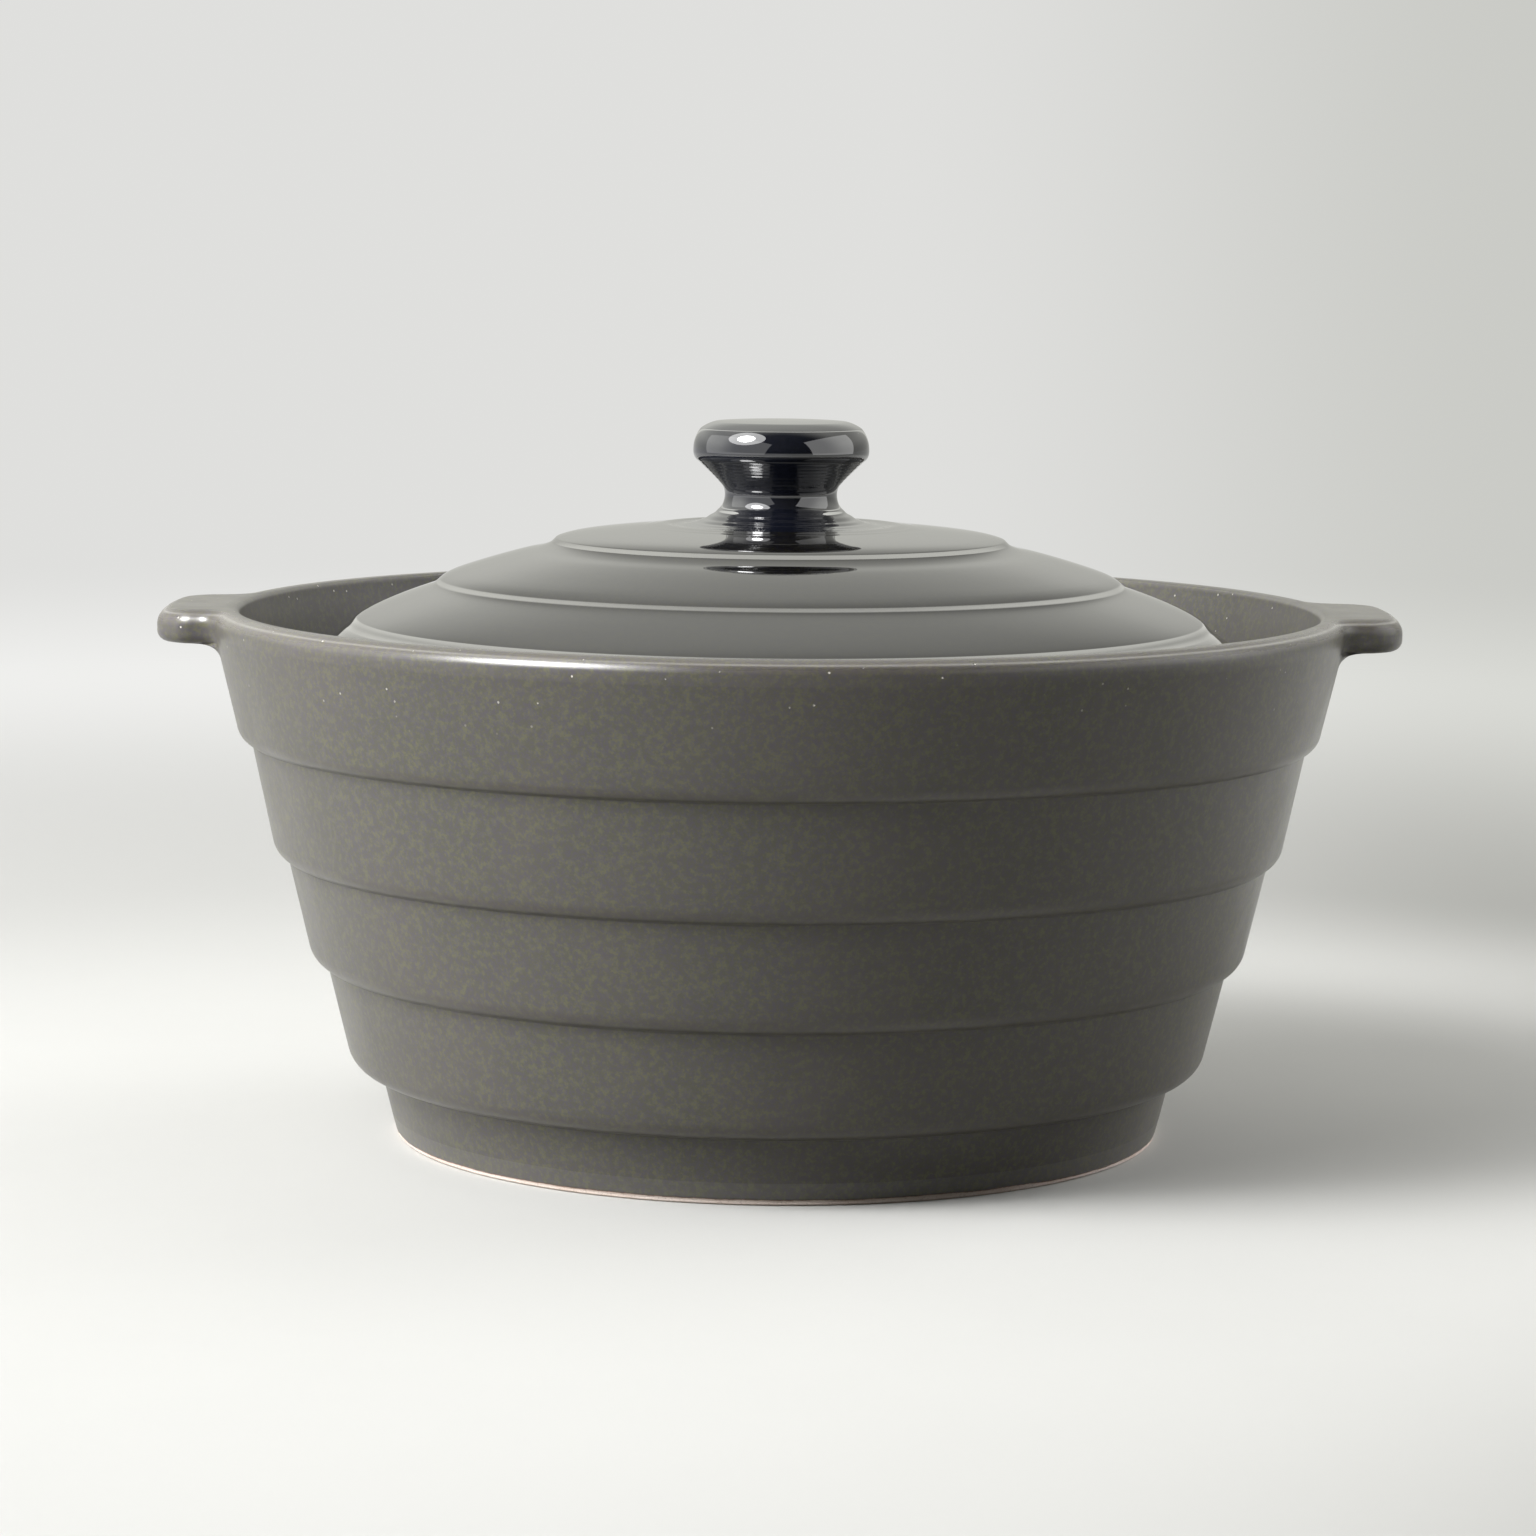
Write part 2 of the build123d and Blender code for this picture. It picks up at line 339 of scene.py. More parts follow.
class NodeBench:
    """Lays and joins the nodes of one material or world."""

    def __init__(self, owner: Material | World) -> None:
        """Clears the owner's nodes and lays its output.

        Args:
            owner: The material or world.
        """
        owner.use_nodes = True
        self.tree = owner.node_tree
        self.tree.nodes.clear()
        is_world = isinstance(owner, World)
        self.output = self.add("ShaderNodeOutputWorld" if is_world else "ShaderNodeOutputMaterial")
        self.place = self.add("ShaderNodeTexCoord").outputs["Generated" if is_world else "Object"]

    def add(self, kind: str, inputs: dict[str | int, object] | None = None,
            **settings: object) -> Node:
        """Adds a node.

        Args:
            kind: The node's type.
            inputs: What goes into its sockets, by their names or places.
            settings: Values for its properties.

        Returns:
            The node.
        """
        node = self.tree.nodes.new(kind)
        for key, value in settings.items():
            setattr(node, key, value)
        for key, value in (inputs or {}).items():
            self.feed(node.inputs[key], value)
        return node

    def feed(self, socket: NodeSocket, value: object) -> None:
        """Links a socket, or sets it to a plain value.

        Args:
            socket: The input to fill.
            value: An output to link, or a number or colour.
        """
        if isinstance(value, NodeSocket):
            self.tree.links.new(value, socket)
        elif isinstance(value, tuple) and len(value) == 3 and len(socket.default_value) == 4:
            socket.default_value = (*value, 1.0)
        else:
            socket.default_value = value

    def show(self, surface: NodeSocket) -> None:
        """Makes a surface or background what the owner shows."""
        self.feed(self.output.inputs["Surface"], surface)

    def clouds(self, pattern: Clouds) -> NodeSocket:
        """Lays a cloudy pattern.

        Args:
            pattern: The pattern.

        Returns:
            Its value.
        """
        place = self.place
        if pattern.stretch:
            inputs = {"Vector": place, "Scale": pattern.stretch}
            place = self.add("ShaderNodeMapping", inputs).outputs["Vector"]
        node = self.add("ShaderNodeTexNoise", {
            "Vector": place, "Scale": pattern.scale, "Detail": pattern.detail,
            "Roughness": pattern.roughness, "Distortion": pattern.warp})
        value = node.outputs["Fac"]
        return self.remap(value, pattern.ramp) if pattern.ramp else value

    def remap(self, value: NodeSocket, ramp: Ramp) -> NodeSocket:
        """Spreads a value smoothly over a ramp and holds it at the ramp's ends.

        Args:
            value: The value.
            ramp: The ramp.

        Returns:
            The new value.
        """
        node = self.add("ShaderNodeMapRange", {
            "Value": value, "From Min": ramp.low, "From Max": ramp.high,
            "To Min": ramp.to_low, "To Max": ramp.to_high}, interpolation_type="SMOOTHSTEP")
        return node.outputs["Result"]

    def maths(self, operation: str, *values: object) -> NodeSocket:
        """Works out a sum.

        Args:
            operation: The sum's name.
            values: Its values, in order.

        Returns:
            The result.
        """
        node = self.add("ShaderNodeMath", dict(enumerate(values)), operation=operation)
        return node.outputs["Value"]

    def times(self, a: object, b: object) -> NodeSocket:
        """Multiplies two values."""
        return self.maths("MULTIPLY", a, b)

    def blend(self, share: object, a: object, b: object) -> NodeSocket:
        """Blends two colours.

        Args:
            share: How much of the second colour is laid on.
            a: The first colour.
            b: The second colour.

        Returns:
            The blended colour.
        """
        node = self.add("ShaderNodeMix", {"Factor": share, MIX_FIRST: a, MIX_SECOND: b},
                        data_type="RGBA")
        return node.outputs[MIX_COLOUR]

    def cover(self, share: object, under: NodeSocket, over: NodeSocket) -> NodeSocket:
        """Lays one surface over another.

        Args:
            share: How far the upper one covers.
            under: The lower surface.
            over: The upper surface.

        Returns:
            The two together.
        """
        inputs = {"Fac": share, LOWER_SHADER: under, UPPER_SHADER: over}
        return self.add("ShaderNodeMixShader", inputs).outputs["Shader"]

    def layer(self, name: str) -> NodeSocket:
        """The value that a layer keeps on the mesh's points."""
        return self.add("ShaderNodeAttribute", attribute_name=name).outputs["Fac"]

    def axis(self, name: str, vector: NodeSocket | None = None) -> NodeSocket:
        """One coordinate of the place, or of a vector given for it."""
        return self.add("ShaderNodeSeparateXYZ", {"Vector": vector or self.place}).outputs[name]

    def bump(self, height: NodeSocket, depth: float, over: NodeSocket | None = None) -> NodeSocket:
        """Relief too fine for the mesh.

        Args:
            height: The relief's pattern.
            depth: Its depth.
            over: Relief that it lies on.

        Returns:
            The surface's direction.
        """
        inputs = {"Strength": 1.0, "Distance": depth, "Height": height}
        if over:
            inputs["Normal"] = over
        return self.add("ShaderNodeBump", inputs).outputs["Normal"]


@dataclass(frozen=True)
class GlintingPinholes:
    """Small pits that a glaze leaves near the rim: dents in the relief, painted pale as a painted
    highlight for the glints that they catch.

    Args:
        strength: How strongly their painted highlight is laid on.
        floor: Height at which they start.
        fade: Height over which they grow to their full number.
        scale: Number of places for them in a metre.
        spot: How one fades out from its middle, in shares of a place's width.
        pick: Which places hold one, by a chance value.
        tone: Their pale colour, a painted highlight for the glints that they catch.
        depth: Their depth.
    """

    strength: float
    floor: float
    fade: float = 16 * MM
    scale: float = 270.0
    spot: Ramp = Ramp(0.045, 0.085, 1.0, 0.0)
    pick: Ramp = Ramp(0.25, 0.27)
    # A pale colour: a painted highlight for the glints in the pits.
    tone: Triple = (0.72, 0.68, 0.62)
    depth: float = 0.15 * MM

    def where(self, bench: NodeBench) -> NodeSocket:
        """Where the pinholes lie.

        Args:
            bench: The material's nodes.

        Returns:
            1 in a pinhole and 0 elsewhere.
        """
        cells = bench.add("ShaderNodeTexVoronoi", {"Vector": bench.place, "Scale": self.scale})
        spot = bench.remap(cells.outputs["Distance"], self.spot)
        chance = bench.add("ShaderNodeSeparateColor", {"Color": cells.outputs["Color"]})
        picked = bench.remap(chance.outputs["Red"], self.pick)
        high = bench.remap(bench.axis("Z"), Ramp(self.floor, self.floor + self.fade))
        return bench.times(spot, bench.times(picked, high))


@dataclass(frozen=True)
class GlazeFinish:
    """A fired glaze: its colours, how glossy it is and how it lies.

    Args:
        name: The material's name.
        body: Colour where it lies thick.
        cloud: Colour of its broad clouds.
        fleck: Colour of its flecks.
        speck: Colour of its finest specks.
        warm: Colour where it runs thin over an edge.
        fleck_share: Strength of the flecks and specks.
        cloud_share: Strength of the clouds.
        roughness: How matt it is.
        rough_spread: How much that varies.
        ior: How strongly it reflects.
        ripple: Depth of its long ripples.
        peel: Depth of its fine peel.
        rings: Depth of the throwing rings under it.
        edge_gloss: How much glossier it is where it runs thin.
        mirror: How strongly it mirrors, as a share; 0.5 is what its ior gives.
        edge_mirror: How much more strongly it mirrors where it runs thin.
        glinting_pinholes: Its pits with their painted glints, if it has any.
        cloud_form: Pattern of the clouds.
        fleck_form: Pattern of the flecks.
        speck_form: Pattern of the specks.
        thin_form: Pattern in which it runs thin.
        ring_form: Pattern of the throwing rings.
        ripple_form: Pattern of the ripples.
        peel_form: Pattern of the peel.
        matt_form: Pattern in which its roughness varies.
        matt_span: The part of that pattern's values that counts.
    """

    name: str
    body: Triple
    cloud: Triple
    fleck: Triple
    speck: Triple
    warm: Triple
    fleck_share: float
    cloud_share: float
    roughness: float
    rough_spread: float
    ior: float
    ripple: float
    peel: float
    rings: float
    edge_gloss: float = 0.0
    mirror: float = 0.5
    edge_mirror: float = 0.0
    glinting_pinholes: GlintingPinholes | None = None
    cloud_form: Clouds = Clouds(26.0, 4.0, 0.6, Ramp(0.38, 0.66), warp=0.6)
    fleck_form: Clouds = Clouds(620.0, 3.0, 0.7, Ramp(0.44, 0.62))
    speck_form: Clouds = Clouds(1350.0, 2.0, 0.75, Ramp(0.42, 0.60))
    thin_form: Clouds = Clouds(120.0, 3.0, 0.6, Ramp(0.30, 0.75, 0.35, 1.0))
    ring_form: Clouds = Clouds(1.0, 2.0, 0.6, stretch=(3.0, 3.0, 420.0))
    ripple_form: Clouds = Clouds(75.0, 2.0, 0.5)
    peel_form: Clouds = Clouds(900.0, 2.0, 0.55)
    matt_form: Clouds = Clouds(60.0, 4.0, 0.6)
    matt_span: Pair = (0.35, 0.70)

    def colour(self, bench: NodeBench) -> NodeSocket:
        """The glaze's colour with clouds, flecks and thin edges.

        Args:
            bench: The material's nodes.

        Returns:
            The colour.
        """
        tone = self.body
        for form, share, colour in ((self.cloud_form, self.cloud_share, self.cloud),
                                    (self.fleck_form, self.fleck_share, self.fleck),
                                    (self.speck_form, self.fleck_share, self.speck)):
            tone = bench.blend(bench.times(bench.clouds(form), share), tone, colour)
        thin = bench.times(bench.layer(THIN_LAYER), bench.clouds(self.thin_form))
        return bench.blend(thin, tone, self.warm)

    def relief(self, bench: NodeBench) -> NodeSocket:
        """The glaze's fine relief: throwing rings, ripples and peel.

        Args:
            bench: The material's nodes.

        Returns:
            The surface's direction.
        """
        normal = None
        for form, depth in ((self.ring_form, self.rings), (self.ripple_form, self.ripple),
                            (self.peel_form, self.peel)):
            normal = bench.bump(bench.clouds(form), depth, normal)
        return normal

    def build(self) -> Material:
        """Makes the material.

        Returns:
            The material.
        """
        material = bpy.data.materials.new(self.name)
        bench = NodeBench(material)
        colour = self.colour(bench)
        normal = self.relief(bench)
        # The pits are dented into the relief and painted pale: a painted highlight for the glints that
        # they catch.
        if self.glinting_pinholes:
            glinting_pits = self.glinting_pinholes.where(bench)
            share = bench.times(glinting_pits, self.glinting_pinholes.strength)
            colour = bench.blend(share, colour, self.glinting_pinholes.tone)
            normal = bench.bump(bench.times(glinting_pits, -1.0), self.glinting_pinholes.depth, normal)
        thin = bench.layer(THIN_LAYER)
        matt = bench.remap(bench.clouds(self.matt_form), Ramp(
            *self.matt_span, self.roughness - self.rough_spread, self.roughness + self.rough_spread))
        shader = bench.add("ShaderNodeBsdfPrincipled", {
            "Base Color": colour, "Normal": normal, "IOR": self.ior,
            "Roughness": bench.maths("SUBTRACT", matt, bench.times(thin, self.edge_gloss)),
            "Specular IOR Level": bench.maths("MULTIPLY_ADD", thin, self.edge_mirror, self.mirror)})
        bench.show(shader.outputs["BSDF"])
        return material


@dataclass(frozen=True)
class ClayFinish:
    """Bare fired clay, with the glaze that may end above it.

    Args:
        name: The material's name.
        clay: The clay's colour.
        toast: Colour of its toasted patches.
        glaze: The glaze that ends above it, if one does.
        flash: Colour of the line where the glaze ends.
        flash_width: Width of that line.
        ragged: How far the glaze's end wanders.
        blur: Half the height over which the glaze gives way to the clay.
        grain: Depth of the clay's grain.
        sand_share: The sand's colour, as a share of the toasted patches' colour.
        roughness: How matt it is.
        ior: How strongly it reflects.
        patch_form: Pattern of the toasted patches.
        sand_form: Pattern of the sand.
        grain_form: Pattern of the grain.
        ragged_form: Pattern in which the glaze's end wanders.
    """

    name: str
    clay: Triple
    toast: Triple
    glaze: GlazeFinish | None = None
    flash: Triple = (0.22, 0.10, 0.07)
    flash_width: float = 0.28 * MM
    ragged: float = 0.5 * MM
    blur: float = 0.04 * MM
    grain: float = 0.05 * MM
    sand_share: float = 0.55
    roughness: float = 0.85
    ior: float = 1.45
    patch_form: Clouds = Clouds(55.0, 4.0, 0.65, Ramp(0.40, 0.72))
    sand_form: Clouds = Clouds(1900.0, 2.0, 0.7, Ramp(0.52, 0.74, 0.0, 0.5))
    grain_form: Clouds = Clouds(1400.0, 3.0, 0.7)
    ragged_form: Clouds = Clouds(420.0, 3.0, 0.6)

    def glaze_level(self, bench: NodeBench) -> NodeSocket:
        """How far a place lies above the ragged end of the glaze.

        Args:
            bench: The material's nodes.

        Returns:
            The height, less than 0 on bare clay.
        """
        wander = bench.maths("SUBTRACT", bench.clouds(self.ragged_form), 0.5)
        return bench.maths("ADD", bench.layer(EDGE_LAYER), bench.times(wander, self.ragged))

    def build(self) -> Material:
        """Makes the material.

        Returns:
            The material.
        """
        material = bpy.data.materials.new(self.name)
        bench = NodeBench(material)
        sand = tuple(self.sand_share * part for part in self.toast)
        tone = bench.blend(bench.clouds(self.patch_form), self.clay, self.toast)
        tone = bench.blend(bench.clouds(self.sand_form), tone, sand)
        level = self.glaze_level(bench) if self.glaze else None
        if level:
            tone = bench.blend(bench.remap(level, Ramp(-self.flash_width, 0.0)), tone, self.flash)
        surface = bench.add("ShaderNodeBsdfPrincipled", {
            "Base Color": tone, "Normal": bench.bump(bench.clouds(self.grain_form), self.grain),
            "Roughness": self.roughness, "IOR": self.ior}).outputs["BSDF"]
        if level:
            coat = bench.add("ShaderNodeBsdfPrincipled", {
                "Base Color": self.glaze.colour(bench), "Normal": self.glaze.relief(bench),
                "Roughness": self.glaze.roughness, "IOR": self.glaze.ior}).outputs["BSDF"]
            surface = bench.cover(bench.remap(level, Ramp(-self.blur, self.blur)), surface, coat)
        bench.show(surface)
        return material


@dataclass
class LugPlan:
    """The outline of a lug seen from above, from the rim out to the middle of its tip.

    Args:
        rim: Radius of the rim's sharp outer edge.
        reach: How far the tip stands from the axis.
        root_half: Half width where the sides would meet the bore.
        root_x: Distance from the axis at which that holds.
        tip_half: Half width at the tip's corners.
        tip_x: Distance from the axis of those corners.
        flare: Radius of the flare out of the rim.
        corner: Radius of the tip's corners.
    """

    rim: float
    reach: float = 138.1 * MM
    root_half: float = 26.0 * MM
    root_x: float = 120.0 * MM
    tip_half: float = 21.0 * MM
    tip_x: float = 136.5 * MM
    flare: float = 5.5 * MM
    corner: float = 11.5 * MM

    def __post_init__(self) -> None:
        """Works out where the flare, the side, the corner and the tip meet."""
        root = Vector((self.root_x, self.root_half))
        along = (Vector((self.tip_x, self.tip_half)) - root).normalized()
        out = Vector((-along.y, along.x))
        flare_centre = self.meet(root + out * self.flare, along, self.rim + self.flare)
        corner_centre = self.meet(root - out * self.corner, along, self.reach - self.corner)
        side_start = flare_centre - out * self.flare
        side_end = corner_centre + out * self.corner
        rim_way = math.atan2(-flare_centre.y, -flare_centre.x) + math.tau
        side_way = math.atan2(-out.y, -out.x) + math.tau
        out_way = math.atan2(out.y, out.x)
        tip_way = math.atan2(corner_centre.y, corner_centre.x)
        self.start_angle = math.atan2(flare_centre.y, flare_centre.x)
        self.side_along = along
        self.side_out = out
        self.runs = [
            (LugRun.FLARE, self.flare * abs(side_way - rim_way), flare_centre, rim_way, side_way),
            (LugRun.SIDE, (side_end - side_start).length, side_start, 0.0, 0.0),
            (LugRun.CORNER, self.corner * (out_way - tip_way), corner_centre, out_way, tip_way),
            (LugRun.TIP, self.reach * tip_way, Vector((0, 0)), tip_way, 0.0),
        ]
        self.length = sum(run[1] for run in self.runs)

    @staticmethod
    def meet(point: Vector, along: Vector, radius: float) -> Vector:
        """Where a line meets a circle about the axis, on its outer side.

        Args:
            point: A point of the line.
            along: The line's direction.
            radius: The circle's radius.

        Returns:
            The meeting point.
        """
        half = point.dot(along)
        return point + along * (-half + math.sqrt(half * half - point.length_squared + radius ** 2))

    def at(self, share: float) -> tuple[Vector, Vector]:
        """A point of the outline and the way it faces.

        Args:
            share: How far along the outline, from 0 at the rim to 1 at the tip's middle.

        Returns:
            The point and its outward direction.
        """
        left = share * self.length
        for run, length, centre, start, end in self.runs:
            if left <= length or run is LugRun.TIP:
                break
            left -= length
        if run is LugRun.SIDE:
            return centre + self.side_along * left, self.side_out
        way = heading(start + (end - start) * left / length)
        radius = {LugRun.FLARE: self.flare, LugRun.CORNER: self.corner, LugRun.TIP: self.reach}[run]
        return centre + way * radius, (-way if run is LugRun.FLARE else way)


@dataclass
class PotBody:
    """The thrown pot with its lugs, split into the bowl and the two lugs, and its bare foot ring.

    Args:
        height: Height of the rim.
        rim: Radius of the rim's sharp outer edge.
        bore: Radius of the mouth.
        lean: How far the top wall leans in going down, in degrees.
        rim_round: Radius of the rim's outer edge.
        bore_round: Radius of the rim's inner edge.
        rim_sag: How far the rim's edges lie below the middle of its top.
        tiers: For each tier from the top: the sharp lip's radius, its height, the lip's radius of
            rounding and how far the wall below sets back.
        fillet: Radius of the glaze in the corner under a lip.
        fillet_shares: How far in and how far down the fillet is pulled, as shares of its radius.
        fillet_bite: How far the fillet's lower end goes past the corner.
        foot: Radius of the foot's outer edge on the floor.
        foot_inner: Radius of the foot ring's inner edge.
        foot_round: Radius of the foot ring's outer lower edge.
        foot_inner_round: Radius of its inner lower edge.
        foot_margin: Width of the band inside the foot's outer edge that may carry glaze.
        recess: Height of the recess inside the foot ring.
        floor: Height of the inner floor.
        floor_flat: Radius of the floor's flat middle.
        floor_pull: Radius that the curve from the floor to the wall is pulled out to.
        wall_pull: How far below the gallery that curve is pulled up to.
        wall_lean: How far the inner wall leans out there, in degrees.
        gallery: Height of the gallery that carries the lid.
        gallery_outer: Radius at which the gallery meets the collar wall.
        gallery_inner: Radius of the gallery's inner edge.
        gallery_round: Radius of that edge's rounding.
        gallery_lap: How far the rounding reaches in past the edge.
        gallery_turn: Where the rounding starts and ends, in degrees.
        collar_round: Radius of the corner between the gallery and the collar wall.
        collar_set: How far that corner is set out.
        lower_turn: Where that corner and the foot's outer edge start and end, in degrees.
        lug_thick: Thickness of a lug.
        lug_under_round: Radius of a lug's lower edge.
        lug_blend: Radius of the blend between a lug's underside and the wall.
        lug_growth: Distance out from the rim over which a lug takes its full thickness.
        lug_margin_share: How far round a lug's faces are taken, as a share of where it starts.
        lug_rows: For each lower zone of a lug: where it ends on the wall, above the lug's
            underside, and its number of points.
        thin_top: How thin the glaze lies on the rim's top and on its inner edge.
        thin_edge: How thin it lies on the rim's outer edge.
        thin_side: How thin it lies on a lug's side.
        thin_lip: How thin it lies on the tiers' lips.
        columns: Number of steps round the pot.
        squeeze: How far the steps are drawn together towards the lugs.
        glaze_line: Mean height at which the glaze ends on the foot.
        glaze_waves: For each wave of the glaze's end: how often it comes, its height and its shift.
        glaze_thick: Thickness of the glaze where it ends.
        glaze_ramp: Height over which the glaze takes that thickness.
        unglazed: Distance from the glaze that stands for the parts it never reaches.
    """

    height: float = 118.0 * MM
    rim: float = 126.8 * MM
    bore: float = 120.0 * MM
    lean: float = 13.22
    rim_round: float = 3.7 * MM
    bore_round: float = 1.2 * MM
    rim_sag: float = 0.30 * MM
    tiers: tuple[tuple[float, float, float, float], ...] = (
        (119.8 * MM, 88.3 * MM, 4.3 * MM, 2.4 * MM),
        (112.0 * MM, 62.5 * MM, 4.9 * MM, 2.5 * MM),
        (103.9 * MM, 38.6 * MM, 5.5 * MM, 3.0 * MM),
        (95.2 * MM, 15.0 * MM, 5.9 * MM, 6.2 * MM),
    )
    fillet: float = 0.55 * MM
    fillet_shares: Pair = (0.35, 0.30)
    fillet_bite: float = 0.02 * MM
    foot: float = 85.5 * MM
    foot_inner: float = 77.0 * MM
    foot_round: float = 0.8 * MM
    foot_inner_round: float = 0.6 * MM
    foot_margin: float = 2.0 * MM
    recess: float = 5.0 * MM
    floor: float = 10.5 * MM
    floor_flat: float = 56.0 * MM
    floor_pull: float = 94.0 * MM
    wall_pull: float = 51.0 * MM
    wall_lean: float = 8.0
    gallery: float = 99.0 * MM
    gallery_outer: float = 116.0 * MM
    gallery_inner: float = 109.0 * MM
    gallery_round: float = 2.0 * MM
    gallery_lap: float = 0.3 * MM
    gallery_turn: Pair = (175.0, 90.0)
    collar_round: float = 1.6 * MM
    collar_set: float = 0.1 * MM
    lower_turn: Pair = (-90.0, -12.0)
    lug_thick: float = 7.5 * MM
    lug_under_round: float = 2.4 * MM
    lug_blend: float = 4.5 * MM
    lug_growth: float = 6.5 * MM
    lug_margin_share: float = 1.06
    lug_rows: tuple[tuple[LugZone, float, int], ...] = (
        (LugZone.UNDER_EDGE, 0.4 * MM, 6),
        (LugZone.UNDER, -0.6 * MM, 6),
        (LugZone.BLEND, -3.5 * MM, 7),
        (LugZone.WALL, -6.5 * MM, 2),
    )
    thin_top: float = 0.2
    thin_edge: float = 0.7
    thin_side: float = 0.1
    thin_lip: float = 0.3
    columns: int = 640
    squeeze: float = 0.25
    glaze_line: float = 1.35 * MM
    glaze_waves: tuple[tuple[float, float, Triple], ...] = (
        (1.7, 0.50 * MM, (3.1, 0.0, 0.0)),
        (9.0, 0.22 * MM, (0.0, 7.7, 0.0)),
    )
    glaze_thick: float = 0.22 * MM
    glaze_ramp: float = 0.35 * MM
    unglazed: float = -9.0 * MM

    def __post_init__(self) -> None:
        """Works out the sizes that follow from the others."""
        low_lip, low_height, _, low_step = self.tiers[-1]
        self.plan = LugPlan(self.rim)
        self.under = self.height - self.lug_thick
        self.slope = math.tan(math.radians(self.lean))
        self.foot_slope = (low_lip - low_step - self.foot) / low_height
        self.ledge = self.gallery_inner + self.gallery_round - self.gallery_lap

    def wall(self, z: float) -> float:
        """Radius of the top wall at a height."""
        return self.rim - (self.height - z) * self.slope

    def draw_rim(self, pen: SectionPen) -> None:
        """Draws the rim and the stretch of wall that becomes a lug, from the bore down the outside.

        Args:
            pen: The pen, at the bore's top.
        """
        inner = self.rim - self.rim_round / math.tan(math.radians(90 - self.lean) / 2)
        pen.line(inner, self.height, count=7, thin=self.thin_top, zone=LugZone.TOP)
        pen.arc(inner, self.height - self.rim_round, self.rim_round, 90, self.lean, count=9,
                thin=self.thin_edge, zone=LugZone.EDGE)
        side_end = self.under + self.lug_under_round
        pen.line(self.wall(side_end), side_end, count=2, thin=self.thin_side, zone=LugZone.SIDE)
        for zone, rise, count in self.lug_rows:
            z = self.under + rise
            pen.line(self.wall(z), z, count, zone=zone)

    def draw_tiers(self, pen: SectionPen) -> None:
        """Draws the stepped wall down to the top of the foot ring.

        Args:
            pen: The pen, on the top wall.
        """
        top_r, top_z = self.rim, self.height
        pull_in, pull_down = (share * self.fillet for share in self.fillet_shares)
        for lip_r, lip_z, rounding, step in self.tiers:
            lean = math.atan2(top_r - lip_r, top_z - lip_z)
            centre_r = lip_r - rounding * math.tan((math.pi / 2 - lean) / 2)
            centre_z = lip_z + rounding
            pen.line(centre_r + rounding * math.cos(lean), centre_z - rounding * math.sin(lean), count=4)
            corner = lip_r - step
            flat_end = corner + self.fillet
            end = math.degrees(math.acos(held((flat_end - centre_r) / rounding)))
            pen.arc(centre_r, centre_z, rounding, -math.degrees(lean), -end, count=9,
                    thin=self.thin_lip)
            if flat_end < centre_r:
                pen.line(flat_end, lip_z, count=2)
            z = pen.last.z
            pen.curve((corner + pull_in, z - self.fillet_bite), (corner, z - pull_down),
                      (corner - self.fillet_bite, z - self.fillet), count=4)
            top_r, top_z = corner, lip_z

    def section(self) -> list[SectionPoint]:
        """The whole half-section, from the middle of the inner floor out over the rim and back.

        Returns:
            The section's points.
        """
        lean = math.radians(self.wall_lean)
        low = self.gallery - self.gallery_round
        pen = SectionPen(0.0, self.floor)
        pen.line(self.floor_flat, self.floor, count=6)
        pen.curve((self.floor_pull, self.floor),
                  (self.gallery_inner - self.wall_pull * math.sin(lean),
                   self.gallery - self.wall_pull * math.cos(lean)),
                  (self.gallery_inner - self.gallery_lap, low), count=22)
        pen.arc(self.ledge, low, self.gallery_round, *self.gallery_turn, count=6)
        pen.line(self.gallery_outer - self.collar_round, self.gallery, count=3)
        pen.arc(self.gallery_outer - self.collar_round + self.collar_set,
                self.gallery + self.collar_round, self.collar_round, *self.lower_turn, count=5)
        pen.line(self.bore, self.height - self.bore_round, count=6)
        pen.arc(self.bore + self.bore_round, self.height - self.bore_round, self.bore_round, 180, 90,
                count=6, thin=self.thin_top)
        self.draw_rim(pen)
        self.draw_tiers(pen)
        pen.line(self.foot + self.foot_slope * self.recess, self.recess, count=3)
        pen.line(self.foot_inner, self.recess, count=3)
        pen.line(0.0, self.recess, count=6)
        return [self.rolled(point) for point in pen.points]

    def rolled(self, point: SectionPoint) -> SectionPoint:
        """Lowers the rim's edges a little, so that its top is one soft roll.

        Args:
            point: A point of the section.

        Returns:
            The point in its place on the roll.
        """
        width = self.rim - self.bore
        share = held((point.z - self.height + width) / width)
        if point.r < self.bore - MM or share == 0.0:
            return point
        across = 2 * (point.r - self.bore) / width - 1
        return replace(point, z=point.z - self.rim_sag * share * across ** 2)

    def drawn_out(self, point: SectionPoint, x: float, y: float) -> Vector:
        """Where a point of the rim goes when it is drawn out into the right lug.

        Args:
            point: The point's place in the section.
            x: Its place along X.
            y: Its place along Y.

        Returns:
            The new place.
        """
        angle = math.atan2(y, x)
        edge, out = self.plan.at(1 - abs(angle) / self.plan.start_angle)
        own = heading(abs(angle))
        weight = eased(held((edge.length - self.rim) / self.lug_growth))
        upright = math.pi / 2 - math.radians(self.lean) * (1 - weight)
        reach = self.rim_round / math.tan(upright / 2)
        if point.zone is LugZone.TOP:
            start = own * (self.bore + self.bore_round)
            plan, z = start.lerp(edge - out * reach, point.share), self.height
        elif point.zone is LugZone.EDGE:
            turn = point.share * upright
            plan = edge - out * (reach - self.rim_round * math.sin(turn))
            z = self.height - self.rim_round * (1 - math.cos(turn))
        else:
            plan, z = self.hung(point, own, edge, out)
            plan = (own * self.wall(point.z)).lerp(plan, weight)
            z = point.z + (z - point.z) * weight
        return Vector((plan.x, math.copysign(plan.y, angle), z))

